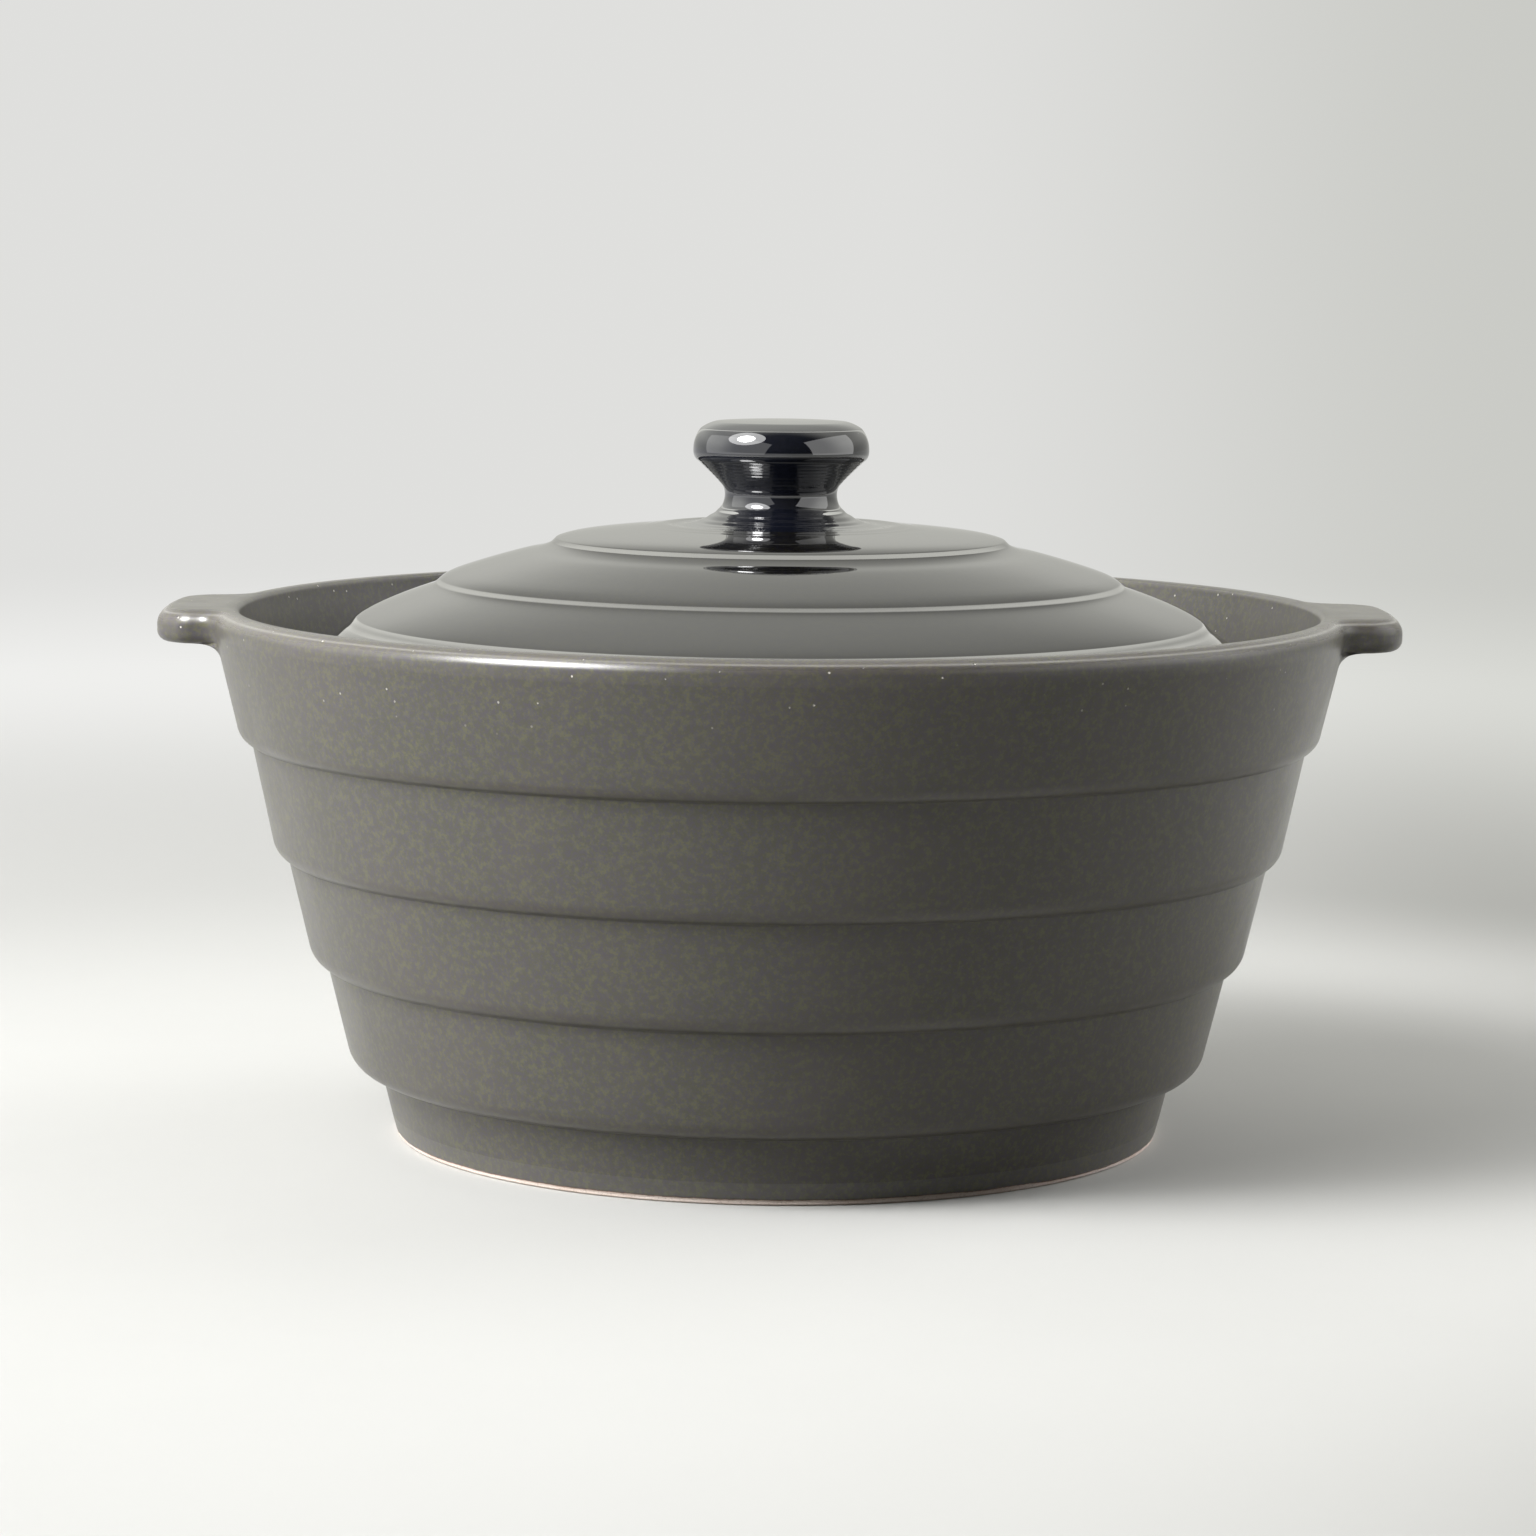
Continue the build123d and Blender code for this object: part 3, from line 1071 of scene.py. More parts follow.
    def hung(self, point: SectionPoint, own: Vector, edge: Vector, out: Vector) -> tuple[Vector, float]:
        """Where a point goes on the side and the underside of a full lug.

        Args:
            point: The point's place in the section.
            own: The way that the point's own column faces, seen from above.
            edge: The lug's outline there.
            out: The way that the outline faces.

        Returns:
            The place seen from above, and the height.
        """
        t = point.share
        low = self.under + self.lug_under_round
        root = self.wall(self.under) + self.lug_blend / math.tan(math.radians(90 + self.lean) / 2)
        if point.zone is LugZone.SIDE:
            high = self.height - self.rim_round
            return edge.copy(), high + (low - high) * t
        if point.zone is LugZone.UNDER_EDGE:
            turn = t * math.pi / 2
            plan = edge - out * (self.lug_under_round * (1 - math.cos(turn)))
            return plan, low - self.lug_under_round * math.sin(turn)
        if point.zone is LugZone.UNDER:
            return (edge - out * self.lug_under_round).lerp(own * root, t), self.under
        if point.zone is LugZone.BLEND:
            turn = math.radians(90 + (90 - self.lean) * t)
            plan = own * (root + self.lug_blend * math.cos(turn))
            return plan, self.under - self.lug_blend * (1 - math.sin(turn))
        blend_end = self.under - self.lug_blend * (1 - math.sin(math.radians(self.lean)))
        z = blend_end + (point.z - blend_end) * t
        return own * self.wall(z), z

    def draw_out_lugs(self, bm: BMesh, section: list[SectionPoint]) -> None:
        """Draws the steps together towards the lugs, and draws the rim out into them.

        Args:
            bm: The turned pot.
            section: The section it was turned from.
        """
        row = bm.verts.layers.int[ROW_LAYER]
        for vert in bm.verts:
            radius = vert.co.xy.length
            if radius < AXIS_GAP:
                continue
            angle = math.atan2(vert.co.y, vert.co.x)
            angle -= self.squeeze * math.sin(2 * angle)
            vert.co.xy = heading(angle) * radius
            point = section[vert[row]]
            if point.zone is None:
                continue
            for turn in (1.0, -1.0):
                x, y = turn * vert.co.x, turn * vert.co.y
                if abs(math.atan2(y, x)) < self.plan.start_angle:
                    place = self.drawn_out(point, x, y)
                    vert.co = (turn * place.x, turn * place.y, place.z)
                    break

    def build(self, glaze: Material, clay: Material, foot: Material) -> list[Object]:
        """Makes the bowl, the lugs and the foot ring.

        Args:
            glaze: The pot's glaze.
            clay: The bare clay of the base and the gallery.
            foot: The bare clay of the foot ring, with the glaze's edge.

        Returns:
            The pieces.
        """
        section = self.section()
        bm = turned(section, self.columns)
        self.draw_out_lugs(bm, section)
        bm.normal_update()
        for face in bm.faces:
            middle = face.calc_center_median()
            radius = middle.xy.length
            base = middle.z < self.recess + 2 * LEVEL_GAP and radius < self.foot_inner
            ledge = abs(middle.z - self.gallery) < LEVEL_GAP and radius > self.ledge
            face.material_index = (Skin.CLAY if base or ledge else Skin.GLAZE).value
        pieces = []
        lugs = {"lug_right": 1.0, "lug_left": -1.0}
        for name, turn in lugs.items():
            part = bm.copy()
            keep = self.lug_faces(part, section, turn)
            bmesh.ops.delete(part, geom=[f for f in part.faces if f not in keep], context="FACES")
            self.close_root(part, turn)
            pieces.append(finish_piece(name + "_glazed", part, [glaze, clay], "pot", name))
        for turn in lugs.values():
            bmesh.ops.delete(bm, geom=list(self.lug_faces(bm, section, turn)), context="FACES")
            self.close_root(bm, turn)
        pieces.append(finish_piece("bowl_glazed", bm, [glaze, clay], "pot", "pot_bowl"))
        pieces.append(self.build_foot(foot))
        return pieces

    def lug_faces(self, bm: BMesh, section: list[SectionPoint], turn: float) -> set[BMFace]:
        """Finds the faces that belong to a lug and its root.

        Args:
            bm: The whole pot.
            section: The section it was turned from.
            turn: 1 for the right lug, -1 for the left.

        Returns:
            The faces.
        """
        row = bm.verts.layers.int[ROW_LAYER]
        reach = self.plan.start_angle * self.lug_margin_share
        return {face for face in bm.faces
                if turn * face.verts[0].co.x >= self.gallery_inner
                and all(section[v[row]].zone is not None
                        and abs(math.atan2(turn * v.co.y, turn * v.co.x)) < reach
                        for v in face.verts)}

    @staticmethod
    def close_root(bm: BMesh, turn: float) -> None:
        """Closes the opening between a lug and the bowl, inside the clay.

        Args:
            bm: The lug, or the bowl with the lug's faces gone.
            turn: 1 for the right lug, -1 for the left.
        """
        row = bm.verts.layers.int[ROW_LAYER]
        rim = [v for v in bm.verts if turn * v.co.x > 0 and any(e.is_boundary for e in v.link_edges)]
        first, last = min(v[row] for v in rim), max(v[row] for v in rim)

        def angle(vert: BMVert) -> float:
            """Where a point lies round the pot."""
            return math.atan2(turn * vert.co.y, turn * vert.co.x)

        top = sorted((v for v in rim if v[row] == first), key=angle)
        bottom = sorted((v for v in rim if v[row] == last), key=angle)
        for a, b, c, d in zip(top, top[1:], bottom[1:], bottom):
            bm.faces.new((a, b, c, d)).material_index = Skin.CLAY.value
        ends = (top[0], top[-1], bottom[0], bottom[-1])
        for sign in (-1.0, 1.0):
            side = sorted((v for v in rim if sign * angle(v) > 0
                           and (first < v[row] < last or v in ends)), key=lambda v: v[row])
            bm.faces.new(side).material_index = Skin.CLAY.value
        bmesh.ops.recalc_face_normals(bm, faces=bm.faces[:])

    def glaze_end(self, angle: float) -> float:
        """Height at which the glaze ends on the foot.

        Args:
            angle: Where on the foot, as an angle round the pot.

        Returns:
            The height.
        """
        way = heading(angle).to_3d()
        return self.glaze_line + sum(height * noise.noise(way * pace + Vector(shift))
                                     for pace, height, shift in self.glaze_waves)

    def build_foot(self, material: Material) -> Object:
        """Makes the foot ring.

        Args:
            material: Bare clay with the glaze's edge.

        Returns:
            The foot ring.
        """
        pen = SectionPen(self.foot_inner, self.recess)
        pen.line(self.foot_inner, self.foot_inner_round, count=3)
        pen.arc(self.foot_inner + self.foot_inner_round, self.foot_inner_round,
                self.foot_inner_round, 180, 270, count=4)
        pen.line(self.foot - self.foot_round, 0.0, count=4)
        pen.arc(self.foot - self.foot_round, self.foot_round, self.foot_round, *self.lower_turn, count=5)
        start = pen.last.z
        pen.line(self.foot + self.foot_slope * self.recess, self.recess, count=22)
        bm = turned(pen.points, self.columns)
        edge = bm.verts.layers.float[EDGE_LAYER]
        for vert in bm.verts:
            radius = vert.co.xy.length
            if radius < self.foot - self.foot_margin:
                vert[edge] = self.unglazed
                continue
            vert[edge] = vert.co.z - self.glaze_end(math.atan2(vert.co.y, vert.co.x))
            if start < vert.co.z < self.recess - AXIS_GAP:
                cover = held(vert[edge] / self.glaze_ramp + 0.5)
                inset = self.glaze_thick * (1 - eased(cover))
                vert.co.xy = vert.co.xy * ((radius - inset) / radius)
        return finish_piece("foot_ring_bare", bm, [material], "pot", "foot_ring")


@dataclass
class Lid:
    """The lid: a stepped dome on a brim, with a steam hole, and the knob on its crown.

    Args:
        seat: Height of the brim's underside.
        seat_width: Width of that seat, in from the brim's edge.
        radius: Radius of the brim.
        brim: Thickness of the brim.
        brim_round: Radius of the brim's two edges.
        brim_crease: The curve from the dome down to the brim, measured in from the brim's edge and
            up from its top.
        seat_edge: The curve from the seat up into the dome, measured in from the brim's edge and
            up from the seat.
        skirt: Where the skirt's inner face ends above.
        underside: The curves from there to the middle of the dome's underside.
        slopes: The lid's top as (radius in millimetres, degrees of fall) from the knob out: nearly
            level on each tier and steep on the soft step that ends it.
        slope_step: Greatest change of slope between points, in degrees.
        slope_run: Greatest distance between points, in millimetres.
        thin: How the glaze runs thin on steep stretches: the fall at which it starts, the further
            fall at which it is thinnest, both in degrees, and how thin it lies there.
        crown: Height of the crown at the knob's foot.
        crown_dip: How far the crown dips to take the knob.
        dip_edge: Width of the dip's sloping edge.
        knob_foot: Radius of the knob's foot.
        hole: The steam hole's place.
        hole_radius: Radius of the steam hole.
        hole_lip: Radius of the softened lip round the steam hole.
        lip_share: The lip's depth, as a share of its radius.
        lip_steps: Number of steps in the lip.
        columns: Number of steps round the lid.
    """

    seat: float = 99.3 * MM
    seat_width: float = 9.0 * MM
    radius: float = 114.6 * MM
    brim: float = 5.2 * MM
    brim_round: float = 2.0 * MM
    brim_crease: CurveRow = ((6.0, 0.75), (4.9, 0.0), (3.2, 0.0), 4)
    seat_edge: CurveRow = ((9.9, 0.0), (10.2, 0.3), (10.8, 0.9), 3)
    skirt: Pair = (95.6 * MM, 108.7 * MM)
    underside: tuple[CurveRow, ...] = (
        ((93.6, 110.6), (92.4, 111.1), (90.0, 112.05), 4),
        ((68.5, 120.1), (40.0, 130.55), (0.0, 130.55), 22),
    )
    slopes: tuple[Pair, ...] = (
        (24.0, -5.0), (25.4, -3.0), (26.3, 1.5), (27.2, 8.5), (28.2, 9.5), (28.9, 6.0),
        (29.3, 3.0), (29.7, 9.0), (30.4, 9.0), (31.2, 5.2), (33.0, 4.8), (36.0, 5.4),
        (40.0, 6.0), (44.0, 7.4), (46.5, 10.0), (48.0, 13.5), (49.2, 17.0), (49.7, 20.0),
        (50.0, 30.0), (50.15, 43.0), (50.95, 45.0), (51.1, 38.0), (51.4, 31.0), (51.9, 25.0),
        (52.6, 20.5), (53.4, 17.0), (54.2, 14.6), (54.8, 12.4), (55.6, 11.2), (56.6, 11.3),
        (57.5, 12.4), (58.5, 13.8), (60.0, 14.8), (66.0, 16.8), (70.0, 17.8), (72.5, 20.2),
        (74.0, 25.5), (75.0, 32.5), (75.6, 39.0), (75.9, 42.0), (76.5, 42.5), (76.8, 40.0),
        (77.2, 32.0), (77.8, 24.0), (78.7, 20.2), (80.0, 18.8), (82.0, 19.0), (87.0, 21.4),
        (90.5, 24.5), (92.5, 27.5), (93.6, 31.0), (94.3, 36.0), (94.8, 44.0), (95.4, 46.5),
        (96.0, 44.0), (96.6, 38.0), (97.4, 36.3), (104.0, 36.3), (107.5, 36.0),
    )
    slope_step: float = 2.2
    slope_run: float = 2.5
    thin: Triple = (25.0, 25.0, 0.5)
    crown: float = 136.4 * MM
    crown_dip: float = 0.6 * MM
    dip_edge: float = 1.0 * MM
    knob_foot: float = 24.0 * MM
    hole: Pair = (57.0 * MM, 24.0 * MM)
    hole_radius: float = 4.4 * MM
    hole_lip: float = 2.2 * MM
    lip_share: float = 0.8
    lip_steps: int = 6
    columns: int = 512

    def draw_top(self, pen: SectionPen) -> None:
        """Draws the lid's top from the knob out to the brim, by its slopes.

        Args:
            pen: The pen, at the knob's foot.
        """
        z = pen.last.z
        thin_from, thin_over, thinnest = self.thin
        for (r_in, fall_in), (r_out, fall_out) in zip(self.slopes, self.slopes[1:]):
            width, change = r_out - r_in, fall_out - fall_in
            count = max(math.ceil(abs(change) / self.slope_step), math.ceil(width / self.slope_run))
            for i in range(1, count + 1):
                fall = fall_in + change * i / count
                middle = fall_in + change * (i - 0.5) / count
                z -= width / count * math.tan(math.radians(middle)) * MM
                pen.line((r_in + width * i / count) * MM, z,
                         thin=held((fall - thin_from) / thin_over) * thinnest)

    def section(self) -> list[SectionPoint]:
        """The dome's half-section, from the crown out over the steps and back underneath.

        Returns:
            The section's points.
        """
        pen = SectionPen(0.0, self.crown - self.crown_dip)
        pen.line(self.knob_foot - self.dip_edge, self.crown - self.crown_dip, count=3)
        pen.line(self.knob_foot, self.crown)
        self.draw_top(pen)
        top = self.seat + self.brim
        edge = self.radius - self.brim_round
        pen.curves((self.brim_crease,), self.radius, top, -1.0)
        pen.line(edge, top)
        pen.arc(edge, top - self.brim_round, self.brim_round, 90, 0, count=6)
        pen.arc(edge, self.seat + self.brim_round, self.brim_round, 0, -90, count=6)
        pen.line(self.radius - self.seat_width, self.seat, count=3)
        pen.curves((self.seat_edge,), self.radius, self.seat, -1.0)
        pen.line(*self.skirt, count=4)
        pen.curves(self.underside)
        return pen.points

    def build(self, glaze: Material, clay: Material, knob_glaze: Material) -> list[Object]:
        """Makes the dome and the knob.

        Args:
            glaze: The lid's glaze.
            clay: Bare clay, for the seat under the brim.
            knob_glaze: The knob's glaze.

        Returns:
            The pieces.
        """
        bm = turned(self.section(), self.columns)
        self.pierce(bm)
        for face in bm.faces:
            seat = abs(face.calc_center_median().z - self.seat) < LEVEL_GAP
            face.material_index = (Skin.CLAY if seat else Skin.GLAZE).value
        dome = finish_piece("lid_glazed", bm, [glaze, clay], "lid", "lid_dome")
        return [dome, Knob(self.crown, self.knob_foot).build(knob_glaze)]

    def pierce(self, bm: BMesh) -> None:
        """Opens the steam hole: clears the faces round it, rounds both edges and turns them down.

        Args:
            bm: The turned dome.
        """
        centre = Vector(self.hole)
        clear = self.hole_radius + self.hole_lip
        near = [v for v in bm.verts if (v.co.xy - centre).length < clear]
        bmesh.ops.delete(bm, geom=near, context="VERTS")
        ends = [edge for ring in self.open_rings(bm) for edge in self.turn_lip(bm, ring, centre)]
        bmesh.ops.bridge_loops(bm, edges=ends)
        bmesh.ops.recalc_face_normals(bm, faces=bm.faces[:])

    @staticmethod
    def open_rings(bm: BMesh) -> list[list[BMEdge]]:
        """Finds the rings of open edges.

        Args:
            bm: The mesh.

        Returns:
            Each ring's edges, in order.
        """
        loose = {e for e in bm.edges if e.is_boundary}
        rings = []
        while loose:
            edge = loose.pop()
            ring, vert = [edge], edge.verts[1]
            while (edge := next((e for e in vert.link_edges if e in loose), None)) is not None:
                loose.discard(edge)
                ring.append(edge)
                vert = edge.other_vert(vert)
            rings.append(ring)
        return rings

    def turn_lip(self, bm: BMesh, ring: list[BMEdge], centre: Vector) -> list[BMEdge]:
        """Rounds an open ring and turns it inwards and down.

        The ring on top becomes a softened lip, and the one underneath a short collar that hangs
        below the dome's underside.

        Args:
            bm: The mesh.
            ring: The ring's edges.
            centre: The hole's middle, seen from above.

        Returns:
            The edges of its inner end.
        """
        for vert in {v for e in ring for v in e.verts}:
            way = (vert.co.xy - centre).normalized()
            target = centre + way * (self.hole_radius + self.hole_lip)
            shift = target.length - vert.co.xy.length
            lean = vert.normal.xy.length / abs(vert.normal.z)
            vert.co = (target.x, target.y, vert.co.z - shift * lean)
        edges = ring
        for i in range(self.lip_steps):
            made = bmesh.ops.extrude_edge_only(bm, edges=edges)["geom"]
            verts = {part for part in made if isinstance(part, BMVert)}
            edges = [part for part in made if isinstance(part, BMEdge) and verts.issuperset(part.verts)]
            before, after = (math.pi / 2 * step / self.lip_steps for step in (i, i + 1))
            inward = self.hole_lip * (math.sin(after) - math.sin(before))
            drop = self.hole_lip * self.lip_share * (math.cos(before) - math.cos(after))
            for vert in verts:
                vert.co.xy -= (vert.co.xy - centre).normalized() * inward
                vert.co.z -= drop
        return edges


@dataclass
class Knob:
    """The knob: a foot flared into the crown, a narrow neck and a rounded cap, with throwing rings.

    Args:
        foot_z: Height of the flare's end on the crown.
        foot: Radius of the flare's end.
        sink: How far the knob's foot sits in the crown.
        foot_edge: Width of the foot's sloping edge.
        flare: The curves of the foot and the neck, up to the cap.
        cap: The curves of the cap; the one that runs straight is its crisp turn.
        rings: Where the throwing rings lie: lowest and highest height, pitch and depth.
        ring_clear: How far the rings stay from the flare's end.
        ring_fade: Height over which the rings grow to their full depth.
        columns: Number of steps round the knob.
    """

    foot_z: float
    foot: float
    sink: float = 0.5 * MM
    foot_edge: float = 1.0 * MM
    flare: tuple[CurveRow, ...] = (
        ((23.2, 136.28), (22.2, 136.24), (21.2, 136.4), 8),
        ((19.6, 136.7), (18.2, 137.05), (16.8, 137.75), 40),
        ((15.2, 138.6), (13.6, 139.6), (12.95, 141.0), 42),
        ((12.4, 142.3), (12.3, 144.0), (13.1, 145.1), 22),
        ((14.6, 146.9), (16.6, 148.7), (18.3, 150.35), 60),
    )
    cap: tuple[CurveRow, ...] = (
        ((18.95, 150.75), (19.6, 151.35), (19.62, 152.9), 24),
        ((19.62, 155.3), (18.75, 156.75), (17.95, 157.75), 16),
        ((17.95, 157.75), (17.87, 157.83), (17.87, 157.83), 1),
        ((17.1, 158.38), (16.0, 159.0), (14.6, 159.3), 12),
        ((11.0, 159.55), (6.0, 159.6), (0.0, 159.6), 14),
    )
    rings: tuple[tuple[float, float, float, float], ...] = (
        (136.45 * MM, 140.2 * MM, 2.30 * MM, 0.045 * MM),
        (145.6 * MM, 150.2 * MM, 1.10 * MM, 0.022 * MM),
    )
    ring_clear: float = 1.5 * MM
    ring_fade: float = 0.5 * MM
    columns: int = 256

    def section(self) -> list[SectionPoint]:
        """The knob's half-section, from its seat up over the cap.

        Returns:
            The section's points.
        """
        pen = SectionPen(0.0, self.foot_z - self.sink)
        pen.line(self.foot - self.foot_edge, self.foot_z - self.sink, count=2)
        pen.line(self.foot, self.foot_z)
        pen.curves(self.flare + self.cap)
        return self.ringed(pen.points)

    def ringed(self, points: list[SectionPoint]) -> list[SectionPoint]:
        """Lays the throwing rings on the section, square to its surface.

        Args:
            points: The smooth section.

        Returns:
            The section with its rings.
        """
        made, run = [points[0]], 0.0
        for before, point, after in zip(points, points[1:], points[2:]):
            run += math.hypot(point.r - before.r, point.z - before.z)
            along = Vector((after.r - before.r, after.z - before.z)).normalized()
            lift = 0.0
            for low, high, pitch, depth in self.rings:
                if low < point.z < high and point.r < self.foot - self.ring_clear:
                    fade = min(min(point.z - low, high - point.z) / self.ring_fade, 1.0)
                    lift = depth * fade * math.sin(math.tau * run / pitch)
            made.append(replace(point, r=point.r + lift * along.y, z=point.z - lift * along.x))
        return made + [points[-1]]

    def build(self, glaze: Material) -> Object:
        """Makes the knob.

        Args:
            glaze: The knob's glaze.

        Returns:
            The knob.
        """
        bm = turned(self.section(), self.columns)
        return finish_piece("knob_glazed", bm, [glaze], "lid", "lid_knob")


@dataclass(frozen=True)
class Lamp:
    """A soft lamp.

    Args:
        name: The lamp's name.
        place: Its place.
        size: Its width and height.
        radiance: How bright its face is.
        part: Which part of the light it gives.
        shape: The outline of its face.
    """

    name: str
    place: Triple
    size: Pair
    radiance: float
    part: LampPart = LampPart.BOTH
    shape: LampShape = LampShape.OBLONG

    def hang(self, target: Triple) -> None:
        """Hangs the lamp.

        Args:
            target: The place that it faces.
        """
        data = bpy.data.lights.new(self.name, "AREA")
        data.shape = self.shape.value
        data.size, data.size_y = self.size
        area = math.prod(self.size) * (math.pi / 4 if self.shape is LampShape.OVAL else 1.0)
        data.energy = self.radiance * math.pi * area
        lamp = bpy.data.objects.new(self.name, data)
        bpy.context.scene.collection.objects.link(lamp)
        lamp.visible_camera = False
        lamp.visible_diffuse = self.part is not LampPart.SHINE
        lamp.visible_glossy = self.part is not LampPart.FILL
        lamp.location = self.place
        lamp.rotation_mode = "QUATERNION"
        aim = Vector(target) - Vector(self.place)
        lamp.rotation_quaternion = aim.to_track_quat("-Z", "Y")


@dataclass
class Studio:
    """The floor, the soft light and the camera.

    Args:
        eye: The camera's place.
        pitch: How far it looks down, in degrees.
        roll: How far it is turned on its own axis, in degrees.
        lens: Its focal length in millimetres.
        sensor: Width of its sensor in millimetres.
        clip: The nearest and the furthest that it sees.
        floor_radius: Radius of the floor.
        floor_sides: Number of sides of the floor.
        paper: Colour of the floor.
        paper_shade_left: Its colour further off on the left, a little darker: painted shade.
        paper_shade_right: Its colour further off on the right, much darker: painted shade of the light
            that falls from the left.
        paper_fade: How those colours take over with distance from the pot.
        fibre: Pattern of the paper's fibre.
        fibre_share: The fibre's colour, as a share of the floor's.
        matt: How matt the floor is.
        bounce: The floor's colour in the light that it throws back.
        turn: How the left of the far field turns to the right, by sideways over away; it also turns the
            floor's lighter painted shade on the left into its darker painted shade on the right.
        far_lit_left: Colour of the far field on the left, lighter: painted light from the left.
        far_shade_right: Colour of the far field on the right, darker: painted shade.
        far_fade: How the far field takes over from the floor with distance.
        far_level: How bright the far field is, by distance.
        target: The place that the lamps face.
        lamps: The lamps.
        room_tone: Colour of the soft light from all round.
        room_low: Its brightness by height near the floor's level.
        room_high: How it grows further up.
        room_back: How it grows from the viewer's side to the back.
        room_side: How it falls from left to right.
        room_fill: The share of it that lights the pot.
        room_shine: The further share of it that the pot mirrors.
        band_lean: The way from the pot to the viewer, which turns mirrored ways into slopes.
        band_top: How the ceiling's bright band starts, by the height of the way a slope faces.
        band_foot: How the band ends.
        band_level: The band's brightness by height.
    """

    eye: Triple = (-2.35 * MM, -1033.83 * MM, 206.53 * MM)
    pitch: float = 6.89
    roll: float = 0.4908
    lens: float = 108.75
    sensor: float = 36.0
    clip: Pair = (0.05, 60.0)
    floor_radius: float = 12.0
    floor_sides: int = 96
    paper: Triple = (0.72, 0.72, 0.70)
    # Further off, the paper is painted darker as painted shade, most on the right.
    paper_shade_left: Triple = (0.62, 0.62, 0.605)
    paper_shade_right: Triple = (0.32, 0.32, 0.305)
    paper_fade: Ramp = Ramp(0.20, 0.42)
    fibre: Clouds = Clouds(14.0, 6.0, 0.6, Ramp(0.35, 0.70, 0.0, 0.12))
    fibre_share: float = 0.9
    matt: float = 0.9
    bounce: Triple = (0.16, 0.155, 0.13)
    turn: Ramp = Ramp(0.02, 0.165)
    # The far field is painted lighter on the left and darker on the right: painted light and shade.
    far_lit_left: Triple = (0.74, 0.74, 0.725)
    far_shade_right: Triple = (0.59, 0.595, 0.565)
    far_fade: Ramp = Ramp(0.34, 1.10)
    far_level: Ramp = Ramp(0.70, 1.70, 1.24, 1.0)
    target: Triple = (0.0, 0.0, 80 * MM)
    lamps: tuple[Lamp, ...] = (
        Lamp("window", (-0.96, -0.62, 1.15), (1.30, 1.15), 4.0, shape=LampShape.OVAL),
        Lamp("window_core", (-0.93, -0.60, 1.12), (0.58, 0.58), 12.0, shape=LampShape.OVAL),
        Lamp("window_glare", (-0.92, -0.59, 1.10), (0.50, 0.50), 52.0, LampPart.SHINE, LampShape.OVAL),
        Lamp("left_fill", (-1.60, -0.35, 0.36), (0.80, 0.60), 16.0, LampPart.FILL),
        Lamp("right_fill", (1.05, 0.66, 0.34), (1.00, 0.55), 8.0, LampPart.FILL),
        Lamp("left_card", (-0.88, -0.36, 0.44), (2.26, 0.88), 0.8, LampPart.SHINE),
        Lamp("right_card", (0.93, -0.26, 0.46), (1.45, 0.90), 1.3, LampPart.SHINE),
    )
    room_tone: Triple = (1.0, 1.0, 0.93)
    room_low: Ramp = Ramp(0.02, 0.36, 0.9, 1.5)
    room_high: Ramp = Ramp(0.60, 0.90, 1.0, 1.3)
    room_back: Ramp = Ramp(-0.50, 0.10, 0.05, 1.0)
    room_side: Ramp = Ramp(-0.70, 0.70, 1.0, 0.72)
    room_fill: float = 0.20
    room_shine: float = 0.64
    band_lean: Triple = (0.0, -0.98, 0.19)
    band_top: Ramp = Ramp(0.80, 0.765)
    band_foot: Ramp = Ramp(0.69, 0.735)
    band_level: Ramp = Ramp(0.15, 0.95, 0.4, 4.2)

    def build_camera(self) -> None:
        """Places the camera where the photograph was taken from."""
        data = bpy.data.cameras.new("camera")
        data.lens = self.lens
        data.sensor_width = self.sensor
        data.sensor_fit = "HORIZONTAL"
        data.clip_start, data.clip_end = self.clip
        camera = bpy.data.objects.new("camera", data)
        bpy.context.scene.collection.objects.link(camera)
        look = Matrix.Rotation(math.radians(90 - self.pitch), 4, "X")
        roll = Matrix.Rotation(math.radians(self.roll), 4, "Z")
        camera.matrix_world = Matrix.Translation(self.eye) @ look @ roll
        bpy.context.scene.camera = camera

    def build_floor(self) -> None:
        """Lays the floor: pale paper near the pot, painted darker further off and most on the right as
        painted shade, that fades into a background far off that glows lighter on the left as painted
        light.
        """
        bm = bmesh.new()
        bmesh.ops.create_circle(bm, cap_ends=True, cap_tris=False, segments=self.floor_sides,
                                radius=self.floor_radius)
        mesh = bpy.data.meshes.new("floor")
        bm.to_mesh(mesh)
        bm.free()
        floor = bpy.data.objects.new("floor", mesh)
        bpy.context.scene.collection.objects.link(floor)
        mesh.materials.append(self.paper_material())

    def paper_material(self) -> Material:
        """The floor's material: paper that takes the shadow and is painted darker further off, most on
        the right, as painted shade; and a far field that glows lighter on the left than on the right, as
        painted light.

        Returns:
            The material.
        """
        material = bpy.data.materials.new("paper")
        bench = NodeBench(material)
        length = bench.add("ShaderNodeVectorMath", {0: bench.place}, operation="LENGTH")
        distance = length.outputs["Value"]
        away = bench.maths("SUBTRACT", distance, self.eye[1])
        side = bench.remap(bench.maths("DIVIDE", bench.axis("X"), away), self.turn)
        fibre = tuple(self.fibre_share * part for part in self.paper)
        near = bench.blend(bench.clouds(self.fibre), self.paper, fibre)
